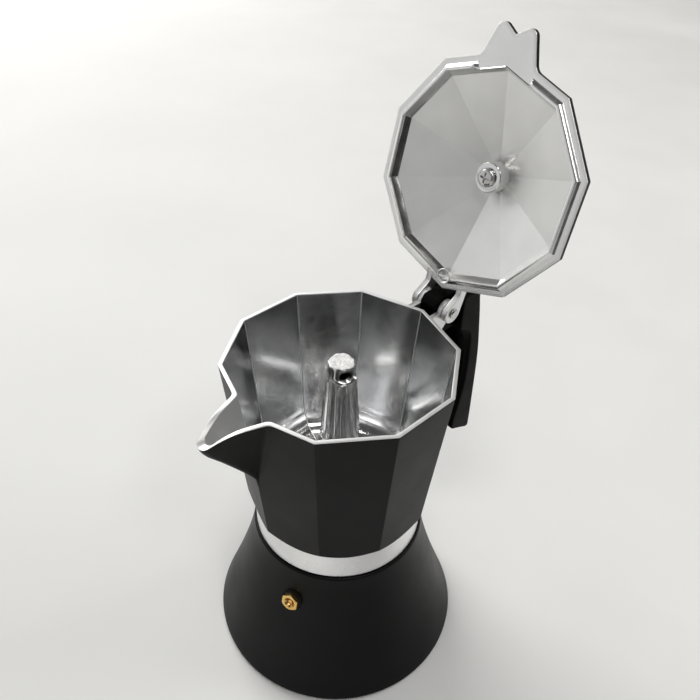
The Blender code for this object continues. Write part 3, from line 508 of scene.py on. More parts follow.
make_camera()
make_floor()
make_board("dark_box", (0.62, 0.14, 0.1), (0.1, 0.5, 0.2), (0.01, 0.009, 0.009))
make_board("wood_board", (-0.35, 1.25, 0.48), (1.3, 0.03, 0.42), (0.3, 0.19, 0.12))
make_world()
soft_light("window", (-2.6, 0.4, 1.7), (0, 0, 0.05), 2.4, 1.6, 68.0, (1.0, 0.995, 0.98))
soft_light("far_window", (0.9, 1.5, 1.3), (0, 0, 0.05), 1.1, 0.8, 11.0, (0.99, 0.995, 1.0))
soft_light("ceiling_lamp", (0.35, -0.3, 1.75), (0, 0, 0.1), 0.28, 0.28, 4.2, (1.0, 0.985, 0.96))
soft_light("side_lamp", (0.85, -0.15, 1.25), (0, 0, 0.1), 0.22, 0.22, 2.0, (1.0, 0.985, 0.96))
bpy.context.scene.view_settings.view_transform = "Standard"


# ---- outlines in plan ----
SIDE_STEPS = 11  # points along one facet
CORNER_STEPS = 4  # segments round one facet corner


def chamber_radius(z):
    """Corner radius of the faceted outside at height z."""
    return FOOT_RADIUS + max((z - BAND_TOP) / (RIM - BAND_TOP), 0.0) * (RIM_RADIUS - FOOT_RADIUS)


def corner(radius, fillet, index, start=-1.0, end=1.0, steps=CORNER_STEPS):
    """Rounded corner of the polygon; start and end are shares of its half angle."""
    centre = radius - fillet / FACET_COS
    middle = 2 * HALF_TURN * index
    points = []
    for k in range(steps + 1):
        angle = middle + HALF_TURN * (start + (end - start) * k / steps)
        points.append(
            (centre * sin(middle) + fillet * sin(angle), centre * cos(middle) + fillet * cos(angle)))
    return points


def between(first, last, steps):
    """Points strictly between two points."""
    return [
        (first[0] + (last[0] - first[0]) * k / (steps + 1), first[1] + (last[1] - first[1]) * k / (steps + 1))
        for k in range(1, steps + 1)]


def back_half(radius, fillet):
    """Half outline, on the +X side, from the back corner to the last corner before the front."""
    points = corner(radius, fillet, 0, 0.0, 1.0, 2)
    for index in range(1, SIDES // 2):
        turn = corner(radius, fillet, index)
        points += between(points[-1], turn[0], SIDE_STEPS) + turn
    return points


def bend(start, middle, end, steps):
    """A smooth turn from start to end that is drawn towards middle."""
    points = []
    for k in range(steps + 1):
        t = k / steps
        points.append(
            tuple((1 - t) ** 2 * a + 2 * t * (1 - t) * b + t * t * c for a, b, c in zip(start, middle, end)))
    return points


def toward(start, end, distance):
    """The point at a distance from start in the direction of end."""
    gap = hypot(end[0] - start[0], end[1] - start[1])
    share = distance / max(gap, 1e-9)
    return start[0] + (end[0] - start[0]) * share, start[1] + (end[1] - start[1]) * share


def mirrored(half):
    """Both halves of an outline from its half on the +X side."""
    return half + [(-x, y) for x, y in reversed(half[1:-1])]


# The spout's underside: (share of its depth, share of its reach).
KEEL_LINE = ((1.0, 0.0), (0.765, 0.25), (0.545, 0.51), (0.39, 0.7), (0.265, 0.87), (0.16, 0.96), (0.0, 1.0))


def along(line, place):
    """The value at a place on a line of (place, value), eased between its points."""
    last = len(line) - 1
    slopes = []
    for k in range(last + 1):
        a, b = max(k - 1, 0), min(k + 1, last)
        slopes.append((line[b][1] - line[a][1]) / (line[b][0] - line[a][0]))
    for k in range(last):
        (p0, v0), (p1, v1) = line[k], line[k + 1]
        if min(p0, p1) <= place <= max(p0, p1):
            span = p1 - p0
            t = (place - p0) / span
            eased = (v0 * (2 * t ** 3 - 3 * t * t + 1) + slopes[k] * span * (t ** 3 - 2 * t * t + t)
                     + v1 * (3 * t * t - 2 * t ** 3) + slopes[k + 1] * span * (t ** 3 - t * t))
            return min(max(eased, min(v0, v1)), max(v0, v1))
    return line[-1][1]


def chamber_plan(z, wall=0.0, fillet=0.0008, corner_radius=None):
    """Outline of the chamber with its spout at height z, outside or moved in by the wall."""
    radius = (corner_radius or chamber_radius(z)) - wall / FACET_COS
    shrink = SPOUT_WALL if wall else 0.0
    depth = (RIM - z) / (SPOUT_DEPTH - (CHANNEL_RISE if wall else 0.0))
    depth = min(max(depth, 0.0), 1.0)
    width = max(SPOUT_HALF_WIDTH * (1 - SPOUT_TAPER * depth) - shrink * 1.1 * (1 - depth), 0.0008)
    reach = max(along(KEEL_LINE, depth) * SPOUT_REACH - shrink * min(1.0, 6 * (1 - depth)), 0.0)
    tip = min(SPOUT_TIP_RADIUS - shrink * 0.6, width * 0.9)
    half = back_half(radius, fillet)
    join = (width, width * FACET_TAN - radius)
    centre = tip / FACET_COS - radius - reach
    far = hypot(width, join[1] - centre)
    touch = atan2(width, centre - join[1]) - acos(min(tip / far, 1.0))
    nose = [(tip * sin(touch * (1 - k / 5)), centre - tip * cos(touch * (1 - k / 5))) for k in range(6)]
    ease = min(0.002, width * 0.25)
    turn = bend(toward(join, half[-1], ease), join, toward(join, nose[0], ease), 4)
    half += between(half[-1], turn[0], SIDE_STEPS) + turn + between(turn[-1], nose[0], 5) + nose
    return mirrored(half)


PLAN_CACHE = {}
OUTER_FILLET, INNER_FILLET = 0.0008, 0.0009


def plan_at(z, wall, column):
    key = (round(z, 6), wall)
    if key not in PLAN_CACHE:
        PLAN_CACHE[key] = chamber_plan(z, wall, OUTER_FILLET if not wall else INNER_FILLET)
    return (*PLAN_CACHE[key][column], z)


# Direction of each column of the chamber's mesh, taken where the spout has run out.
BEARINGS = [Vector(point).normalized() for point in chamber_plan(BAND_TOP)]


def circle(radius, z):
    return [(radius * b.x, radius * b.y, z) for b in BEARINGS]


def thread_height(angle, z, bottom):
    """Height of a helical ridge over its root, from 0 to 1."""
    height = 0.0
    for turn in range(int(THREAD_TURNS) + 1):
        turns = angle / (2 * pi) % 1.0 + turn
        if turns <= THREAD_TURNS:
            off = abs(z - bottom - THREAD_PITCH * (0.3 + turns)) / THREAD_PITCH
            ends = min(1.0, turns * 8, (THREAD_TURNS - turns) * 8)
            height = max(height, min(max((0.3 - off) / 0.18, 0.0), 1.0) * ends)
    return height


def rim_height(y):
    """Height of the rim at a distance along the spout: level, then dipping to the lip."""
    start, end = -RIM_RADIUS - 0.3 * SPOUT_REACH, -RIM_RADIUS - SPOUT_REACH
    share = min(max((y - start) / (end - start), 0.0), 1.0)
    return RIM - LIP_DROP * share ** 1.5


# ---- upper chamber ----
def make_chamber():
    coat, bare, turned_zone, polished = 0, 1, 2, 3
    count, edge = len(BEARINGS), 0.0003
    foot_plan = chamber_plan(BAND_TOP)
    highlight_corners = [dist(foot_plan[k], foot_plan[(k + 1) % count]) < 0.0003 for k in range(count)]
    # Where the turned chamfer above the band runs out into the facets.
    taper = (RIM_RADIUS - FOOT_RADIUS) / (RIM - BAND_TOP)
    shares = [hypot(x, y) / FOOT_RADIUS for x, y in foot_plan]
    border = [
        BAND_TOP + (FOOT_RADIUS * share - BAND_RADIUS) / (BAND_FLARE - taper * share) for share in shares]
    tops = [rim_height(y) - edge for _, y in chamber_plan(RIM)]
    levels = (
        0.0, 0.012, 0.06, 0.14, 0.24, 0.34, 0.44, 0.53, 0.61, 0.68, 0.74, 0.79, 0.84, 0.88, 0.92, 0.955, 0.98)

    def wall_ring(low, share, wall):
        """A ring at a share of the way from the heights in low up to the rim."""
        return [plan_at(low[k] + (tops[k] - low[k]) * share, wall, k) for k in range(count)]

    def rounded(here, there, inward, drop):
        """The rim's edge, moved towards the other wall and up."""
        up = Vector((0, 0, edge * (1 - drop)))
        return [tuple(p + (q - p).normalized() * edge * inward + up) for p, q in zip(here, there)]

    rows = [(circle(radius, z), turned_zone) for radius, z in (
        (SKIRT_BORE, BAND_BOTTOM), (BAND_RADIUS - edge, BAND_BOTTOM),
        (BAND_RADIUS - edge * 0.3, BAND_BOTTOM + edge * 0.3), (BAND_RADIUS, BAND_BOTTOM + edge),
        (BAND_RADIUS, BAND_TOP - 0.0004))]
    chamfer = []
    for k in range(count):
        low, high = Vector((*(BAND_RADIUS * BEARINGS[k]), BAND_TOP)), Vector(plan_at(border[k], 0.0, k))
        chamfer.append(tuple(low.lerp(high, 0.12)))
    rows.append((chamfer, turned_zone))
    rows += [(wall_ring(border, level, 0.0), coat) for level in levels]
    outer, inner = ([Vector(plan_at(tops[k], wall, k)) for k in range(count)] for wall in (0.0, CHAMBER_WALL))
    rows += band(
        bare, [tuple(p) for p in outer], rounded(outer, inner, 0.3, 0.3), rounded(outer, inner, 1.0, 0.0),
        rounded(inner, outer, 1.0, 0.0), rounded(inner, outer, 0.3, 0.3))
    rows += band(polished, [tuple(q) for q in inner])

    floor_radius = chamber_radius(CHAMBER_FLOOR) - WALL_AT_CORNER
    fillet_top = CHAMBER_FLOOR + FLOOR_FILLET
    rows += [
        (wall_ring([fillet_top] * count, level, CHAMBER_WALL), polished) for level in reversed(levels[1:])]
    start_radius = chamber_radius(fillet_top) - WALL_AT_CORNER
    for k in range(9):
        angle = pi / 2 * k / 8
        reach = start_radius - FLOOR_FILLET * (1 - cos(angle)) - (start_radius - floor_radius) * k / 8
        plan = chamber_plan(BAND_TOP, 0.0, INNER_FILLET, reach)
        rows.append(([(x, y, fillet_top - FLOOR_FILLET * sin(angle)) for x, y in plan], polished))
    hole, plenum = COLUMN_SPIGOT + GAP, GASKET_BORE - 0.0005
    rows += band(polished, circle(0.022, CHAMBER_FLOOR), circle(0.014, CHAMBER_FLOOR))
    rows += band(
        bare, circle(hole, CHAMBER_FLOOR), circle(hole, PLENUM_TOP), circle(plenum - 0.002, PLENUM_TOP),
        circle(plenum, CHAMBER_UNDERSIDE))
    thread_steps = 46
    for k in range(thread_steps + 1):
        z = CHAMBER_UNDERSIDE - (CHAMBER_UNDERSIDE - BAND_BOTTOM - 0.0005) * k / thread_steps
        ring = []
        for b in BEARINGS:
            angle = atan2(b.y, b.x)
            ridge = thread_height(angle, z, THREAD_BOTTOM + THREAD_PITCH / 2) if 0 < k < thread_steps else 0.0
            reach = SKIRT_BORE - (THREAD_DEPTH - GAP) * ridge
            ring.append((reach * b.x, reach * b.y, z))
        rows.append((ring, turned_zone))
    lugs = [plate(lug_outline(), side * LUG_INSIDE, side * (LUG_INSIDE + LUG_WIDTH), side * 0.0005, bare)
            for side in (1, -1)]
    points, faces, zones = tube(rows)
    # Painted highlight: the inner corner fillets get the lighter, rougher satin finish instead of the polish,
    # so they show as bright lines down the inside.
    zones = [bare if zone == polished and highlight_corners[i % count] else zone for i, zone in enumerate(zones)]
    finishes = [looks["facets"], looks["satin"], looks["turned"], looks["polished"]]
    build("chamber_casting", [(points, faces, zones)] + lugs, finishes, "upper",
          ["upper_chamber"], sharp=35)


def lug_outline():
    """Side view of one hinge lug as (y, z), with its root in the chamber's wall."""
    foot = HINGE_Z - TONGUE_DEPTH - 0.002
    middle = LUG_INSIDE + LUG_WIDTH / 2
    low, high = (chamber_radius(z) - WALL_AT_CORNER / 2 - middle * FACET_TAN for z in (foot, RIM - GAP))
    return [
        (low, foot), (low + 0.004, foot), *arc((HINGE_Y, HINGE_Z), LUG_RADIUS, -60, 174, 26),
        (high, RIM - GAP)]


# ---- boiler and valve ----
def boiler_radius(z):
    share = (BOILER_HEIGHT - z) / (BOILER_HEIGHT - EDGE_HEIGHT)
    return SHOULDER_RADIUS + (BASE_RADIUS - SHOULDER_RADIUS) * max(share, 0.0) ** FLARE_POWER


def valve_frame():
    """Places +Z along the outward normal of the boiler at the valve."""
    axis = Vector(joints["valve_relief"]["axis"]).normalized()
    place = Vector((cos(VALVE_BEARING), sin(VALVE_BEARING), 0)) * boiler_radius(VALVE_HEIGHT)
    place.z = VALVE_HEIGHT
    return Matrix.Translation(place) @ axis.to_track_quat("Z", "Y").to_matrix().to_4x4()


def make_boiler():
    steps = 192
    coat, metal = 0, 1
    recess = PLATE_THICKNESS + GAP
    inside_floor = recess + BOILER_FLOOR
    profile = [(0.0, recess, metal), (PLATE_RADIUS + GAP, recess, metal),
               (PLATE_RADIUS + GAP, GAP + 0.0004, metal), (PLATE_RADIUS + GAP + 0.0004, GAP, coat)]
    roll = EDGE_HEIGHT - GAP
    for k in range(9):
        angle = radians(90 - 90 * k / 8)
        profile.append((BASE_RADIUS - roll * (1 - cos(angle)), GAP + roll * (1 - sin(angle)), coat))
    round_off = 0.0012
    shoulder = BOILER_HEIGHT - round_off
    rows = 26
    heights = [EDGE_HEIGHT + (shoulder - EDGE_HEIGHT) * k / rows for k in range(1, rows + 1)]
    profile += [(boiler_radius(z), z, coat) for z in heights]
    edge_radius = boiler_radius(shoulder)
    for k in range(1, 6):
        angle = radians(90 * k / 5)
        profile.append((edge_radius - round_off * (1 - cos(angle)), shoulder + round_off * sin(angle), coat))
    profile.append((NECK_RADIUS + 0.0004, BOILER_HEIGHT, metal))
    neck_foot, neck_rows = BOILER_HEIGHT + 0.0004, 40
    for k in range(neck_rows + 1):
        profile.append((NECK_RADIUS, neck_foot + (NECK_TOP - 0.0012 - BOILER_HEIGHT) * k / neck_rows, metal))
    profile += [(NECK_RADIUS - 0.0008, NECK_TOP, metal), (NECK_BORE, NECK_TOP, metal)]
    low = boiler_radius(inside_floor) - BOILER_WALL
    for z in reversed(heights):
        reach = min(boiler_radius(z) - BOILER_WALL, NECK_BORE + max(0.0, shoulder - z) * 1.2)
        if z > inside_floor + 0.004:
            profile.append((reach, z, metal))
    profile += [
        (low, inside_floor + 0.003, metal), (low - 0.003, inside_floor, metal), (0.0, inside_floor, metal)]

    def outside(radius, z):
        """A ring's radius, with the thread on the neck."""
        if abs(radius - NECK_RADIUS) > 1e-7:
            return max(radius, ON_AXIS)
        return lambda angle: radius + (THREAD_DEPTH - GAP) * thread_height(angle, z, THREAD_BOTTOM)

    table = [(round_ring(outside(radius, z), z, steps), zone) for radius, z, zone in profile]
    place = valve_frame()
    seat = turned([(0, -SPOT_FACE), (0.0055, -SPOT_FACE), (0.0055, 0.01), (0, 0.01)], 64, place)
    build("boiler_casting", [tube(table, closed=False)], [looks["coating"], looks["turned"]], "lower",
          ["boiler"], sharp=35, modifier=lambda piece: cut(piece, [seat]))


def make_valve():
    place = valve_frame()
    bottom = -SPOT_FACE + 0.0008 + 2 * GAP
    top = bottom + VALVE_HEAD
    steps = 72
    corner_reach = VALVE_FLATS / 2 / cos(pi / 6)
    face = VALVE_FLATS * 0.485

    def hexagon(inset, level):
        """One ring of the head; level gives the height for each point's distance from the axis."""
        ring = []
        for k in range(steps):
            angle = 2 * pi * k / steps
            turn = angle % (pi / 3) - pi / 6
            reach = min(VALVE_FLATS / 2 / cos(turn), corner_reach - 0.00015) - inset
            ring.append((reach * cos(angle), reach * sin(angle), level(reach)))
        return ring

    def disc(radius, height):
        return round_ring(radius, height, steps)

    slope = tan(radians(28))  # the chamfer on the head's corners
    rings = [
        disc(0.0024, -0.0075), disc(0.003, -0.0075), disc(0.003, bottom), hexagon(0.0002, lambda r: bottom),
        hexagon(0.0, lambda r: bottom + (r - face) * slope * 0.5),
        hexagon(0.0, lambda r: top - (r - face) * slope), disc(face, top), disc(VALVE_FLATS * 0.345, top),
        disc(VALVE_FLATS * 0.325, top - 0.0002), disc(0.0016, top - 0.0015), disc(0.0014, top - 0.0018),
        disc(0.0014, -0.0015), disc(0.0024, -0.0015)]
    turned_head = place @ Matrix.Rotation(pi / 6, 4, "Z")
    build("valve_head", [moved(tube(band(0, *rings)), turned_head)], [looks["brass"]], "lower",
          ["valve_body"])
    pin_top = top - 0.0008
    pin = [
        (0, -0.0064), (0.0006, -0.0064), (0.0017, -0.0053), (0.0021, -0.0053), (0.0021, -0.0046),
        (0.0011, -0.0046), (0.0011, pin_top - 0.0004), (0.00095, pin_top - 0.0001), (0.0006, pin_top),
        (0, pin_top)]
    build("relief_pin", [turned(pin, 32, place)], [looks["brass"]], "relief", ["valve_pin"])


# ---- column ----
def make_column():
    metal, cast = 0, 1
    steps = COLUMN_FLUTES * 12
    foot, top = CHAMBER_FLOOR + GAP, CHAMBER_FLOOR + COLUMN_HEIGHT
    neck, cap = top - COLUMN_COLLAR, top - COLUMN_DOME
    levels = [(PLENUM_TOP, COLUMN_SPIGOT, 0.0), (foot, COLUMN_SPIGOT, 0.0),
              (foot, COLUMN_FOOT - 0.0004, 1.0), (foot + 0.0004, COLUMN_FOOT, 1.0)]
    for k in range(1, 6):
        share = k / 5
        levels.append((foot + 0.0004 + 0.0116 * share, COLUMN_FOOT - 0.0009 * share ** 0.6, 1.0))
    for k in range(1, 13):
        share = k / 12
        levels.append((foot + 0.012 + (neck - 0.0006 - foot - 0.012) * share,
                       COLUMN_FOOT - 0.0009 - (COLUMN_FOOT - 0.0009 - COLUMN_TOP) * share, 1.0))
    levels += [
        (neck, COLUMN_TOP, 0.8), (neck + 0.0006, COLUMN_TOP - 0.00015, 0.5),
        (neck + 0.0014, COLUMN_TOP - 0.0004, 0.1), (cap - 0.0012, COLUMN_CAP + 0.0009, 0.0),
        (cap + 0.001, COLUMN_CAP + 0.0006, 0.0), (top - 0.0016, COLUMN_CAP + 0.0004, 0.0),
        (top - 0.0007, COLUMN_CAP + 0.0003, 0.0)]

    def fluted(radius, flute):
        return lambda angle: radius - flute * FLUTE_DEPTH * abs(sin(COLUMN_FLUTES * angle / 2))

    def ragged(radius, share):
        return lambda angle: radius + 0.00022 * (sin(3 * angle + 1) + sin(7 * angle) * 0.6
                                                 + sin(11 * angle + 2) * 0.5) * share

    rows = [(round_ring(fluted(radius, flute), z, steps), metal) for z, radius, flute in levels]
    rows += [(round_ring(ragged(radius, share), z, steps), cast) for radius, z, share in (
        (COLUMN_CAP + 0.0001, top - 0.0002, 1.0), (COLUMN_CAP - 0.0003, top, 1.0),
        (COLUMN_CAP * 0.5, top - 0.0001, 0.3))]
    bore_foot, bore_top = COLUMN_SPIGOT - 0.0022, COLUMN_TOP - 0.0022
    under = CHAMBER_UNDERSIDE + 0.001
    middle = top - OUTLET_DROP
    bore_end = middle + OUTLET_RADIUS * 0.5
    bore = turned(
        [(0, under), (bore_foot, under), (bore_top, neck - 0.002), (bore_top * 0.7, bore_end), (0, bore_end)],
        48)
    outlet_outline = arc((0, middle), OUTLET_RADIUS, 0, 360, 40)[:-1]
    reach = COLUMN_TOP + 0.005
    spin = Matrix.Rotation(OUTLET_BEARING, 4, "Z")
    outlet = moved(
        tube([([(x, y, z) for y, z in outlet_outline], 0) for x in (-reach, reach)], closed=False), spin)
    lips = []
    for side in (0, pi):
        path, sizes = [], []
        for k in range(21):
            share = k / 10 - 1
            angle = OUTLET_BEARING + side + radians(52) * share
            lift = 0.0017 * share ** 2
            path.append(
                (COLUMN_TOP * cos(angle), COLUMN_TOP * sin(angle), middle - OUTLET_RADIUS - 0.0005 + lift))
            sizes.append(0.00075 * sqrt(max(1 - share ** 4, 0.02)))
        lips.append(swept(path, sizes, 12))
    build("coffee_column", [tube(rows, closed=False)], [looks["bright"], looks["cast"]], "upper",
          ["column"], sharp=24, modifier=lambda piece: cut(piece, [bore, outlet]))
    build("column_lips", lips, [looks["bright"]], "upper")


# ---- handle ----
BACK_LINE = (
    (0.0, 0.0295), (0.0015, 0.0307), (0.024, 0.0301), (0.054, 0.0286), (0.078, 0.0251), (0.0915, 0.0226),
    (0.0968, 0.0212), (0.099, 0.0175))
FRONT_LINE = (
    (0.0, 0.0155), (0.002, 0.0138), (0.009, 0.0138), (0.024, 0.0165), (0.041, 0.019), (0.058, 0.0188),
    (0.0729, 0.0168), (0.0774, 0.0115), (0.0786, 0.0083), (0.099, 0.0083))
SLANT_RUN = 0.032  # the slant of the lower end fades out over this height


def handle_section(height, shrink):
    """Half of one level section of the handle, from the back's middle round to the pocket's middle."""
    back, front = along(BACK_LINE, height) - shrink, along(FRONT_LINE, height) + shrink
    half = HANDLE_HALF_WIDTH - shrink
    arch_start, arch_top = 0.056, 0.0715
    openness = min(max((arch_top - height) / (arch_top - arch_start), 0.0), 1.0)
    open_round = sqrt(max(1 - (1 - openness) ** 2, 0.0))
    floor = front + (back - HANDLE_SHELL - front) * open_round
    pocket = (half - HANDLE_SHELL + shrink) * (0.35 + 0.65 * open_round)
    round_back, round_front = min(0.0018, (back - front) * 0.4), 0.0009
    crown = 0.0008
    points = [(half * share * 0.72, back - crown * share * share * 0.4) for share in (0.0, 0.35, 0.7)]
    points += [(half - round_back + round_back * sin(a), back - crown - round_back * (1 - cos(a)))
               for a in in_radians(10, 25, 40, 55, 70, 90)]
    points += between(points[-1], (half, front + round_front), 4)
    points += [(half - round_front * (1 - cos(a)), front + round_front * (1 - sin(a)))
               for a in in_radians(0, 30, 60, 90)]
    inner_round = 0.0006 * open_round
    points += [(pocket + inner_round, front), (pocket, front + inner_round)]
    corner_round = min(0.002, (floor - front) * 0.4)
    points += between(points[-1], (pocket, floor - corner_round), 3)
    points += [(pocket - corner_round * (1 - cos(a)), floor - corner_round * (1 - sin(a)))
               for a in in_radians(0, 45, 90)]
    points += [(pocket * 0.4, floor), (0.0, floor)]
    return points


def make_handle():
    rows = []
    bevel = 0.0009
    length = HANDLE_TOP - HANDLE_LOW
    levels = [(0.0, bevel), (bevel * 0.3, bevel * 0.3), (bevel, 0.0)]
    levels += [
        (height, 0.0) for height in (0.0025, 0.006, 0.012, 0.018, 0.025, 0.033, 0.041, 0.048, 0.054, 0.058,
        0.061, 0.064, 0.0665, 0.0685, 0.07, 0.071, 0.0718, 0.0735, 0.0752, 0.0766, 0.0778, 0.079, 0.083,
        0.088, 0.0915, 0.094)]
    top_bevel = 0.0016
    levels += [
        (length - top_bevel * 1.6, 0.0), (length - top_bevel, 0.0),
        (length - top_bevel * 0.35, top_bevel * 0.3), (length, top_bevel)]
    for height, shrink in levels:
        half = handle_section(height, shrink)
        back = max(y for _, y in half)
        depth = back - min(y for _, y in half)
        slant = HANDLE_SLANT * max(1 - height / SLANT_RUN, 0.0) ** 1.5
        rows.append(([(x, HINGE_Y + y, HANDLE_LOW + height + slant * (back - y) / depth)
                      for x, y in mirrored(half)], 0))
    bridge = HINGE_Z - TONGUE_DEPTH
    nose = HINGE_Y - TONGUE_REACH
    rise = HANDLE_TOP - HINGE_Z
    corner_z = sqrt(TONGUE_RADIUS ** 2 - TONGUE_REACH ** 2) - 0.0002
    corner_y = sqrt(TONGUE_RADIUS ** 2 - rise ** 2) - 0.0002
    outline = [
        (nose + 0.0012, bridge), (nose + 0.0003, bridge + 0.0004), (nose, bridge + 0.0014),
        (nose, HINGE_Z + corner_z - 0.0008), (nose + 0.0002, HINGE_Z + corner_z),
        (HINGE_Y - corner_y - 0.0002, HANDLE_TOP - 0.0003), (HINGE_Y - corner_y + 0.0006,
        HANDLE_TOP - 0.0001), (HINGE_Y + 0.013, HANDLE_TOP - 0.0001), (HINGE_Y + 0.013, bridge)]
    tongue = plate(outline, -TONGUE_HALF_WIDTH, TONGUE_HALF_WIDTH, 0.0004)
    build("handle_moulding", [tube(rows, closed=False), tongue], [looks["black_plastic"]], "upper",
          ["handle"], sharp=38)


# ---- lid, shaped shut and then swung open ----
def opened():
    """Turns the shut lid about its hinge to where it stands at rest."""
    pivot = Vector((0, HINGE_Y, HINGE_Z))
    return Matrix.Translation(pivot) @ Matrix.Rotation(-LID_OPEN, 4, "X") @ Matrix.Translation(-pivot)


TAB_STEPS = 24  # columns from the tab's root to the notch
ROOT_SHARES = (0.14, 0.28, 0.42, 0.54, 0.64, 0.73, 0.8, 0.86, 0.91, 0.955)  # of the way to that root


def lid_ring(radius, z, fillet=0.0006):
    """Ten-sided outline; z is a height, or a function of x and y."""
    half = back_half(radius, fillet)
    scale = radius / LID_RADIUS
    root = TAB_HALF_WIDTH * scale
    start = half[-1]
    free = start[0] - root
    for share in (*ROOT_SHARES, 1.0):
        x = start[0] - free * share
        half.append((x, x * FACET_TAN - radius))
    for k in range(1, TAB_STEPS + 1):
        x = root * (1 - k / TAB_STEPS)
        reach = fillet * sin(HALF_TURN)
        if x >= reach:
            half.append((x, x * FACET_TAN - radius))
        else:
            half.append((x, -(radius - fillet / FACET_COS) - sqrt(fillet ** 2 - x ** 2)))
    return raised(half, z)


def raised(half, z):
    return [(x, y, z(x, y) if callable(z) else z) for x, y in mirrored(half)]


def tab_ring(inset, z, fillet=0.0009):
    """The flange's outline with the two-lobed thumb tab."""
    radius = LID_RADIUS - inset / FACET_COS
    half = back_half(radius, max(fillet - inset, 0.0002))
    root = (TAB_HALF_WIDTH - inset, (TAB_HALF_WIDTH - inset) * FACET_TAN - radius)
    lobe = TAB_LOBE - inset
    centre = (TAB_HALF_WIDTH * 0.47, -LID_RADIUS - TAB_REACH + TAB_LOBE)
    far = hypot(root[0] - centre[0], root[1] - centre[1])
    bearing = atan2(root[0] - centre[0], centre[1] - root[1])
    touch = bearing - acos(lobe / far)
    notch = (0.0, -LID_RADIUS - TAB_REACH * 0.63 + inset * 1.3)
    back_bearing = atan2(notch[0] - centre[0], centre[1] - notch[1])
    leave = back_bearing + acos(min(lobe / hypot(notch[0] - centre[0], notch[1] - centre[1]), 1.0))
    turn_in = 0.0022
    first = toward(root, half[-1], turn_in)
    start = half[-1]
    for share in ROOT_SHARES:
        half.append((start[0] + (first[0] - start[0]) * share, start[1] + (first[1] - start[1]) * share))
    arc_steps = 12
    tip = []
    for k in range(arc_steps + 1):
        angle = touch + (leave - touch) * k / arc_steps
        tip.append((centre[0] + lobe * sin(angle), centre[1] - lobe * cos(angle)))
    flank = toward(root, tip[0], turn_in)
    half += bend(first, root, flank, 4) + between(flank, tip[0], 3) + tip
    half += bend(toward(notch, tip[-1], 0.0012), (0.0, notch[1]), (0.0, notch[1] - 0.0002), 3)
    return raised(half, z)


def bead_share(x, y):
    """1 on the bead and 0 where the tab interrupts it."""
    if y > 0:
        return 1.0
    t = min(max((abs(x) - TAB_HALF_WIDTH + 0.0002) / 0.0016, 0.0), 1.0)
    return sqrt(max(1 - (1 - t) ** 2, 0.0))


def lid_circle(radius, z):
    points = lid_ring(LID_RADIUS, 0.0)
    return [(x * radius / hypot(x, y), y * radius / hypot(x, y), z) for x, y, _ in points]


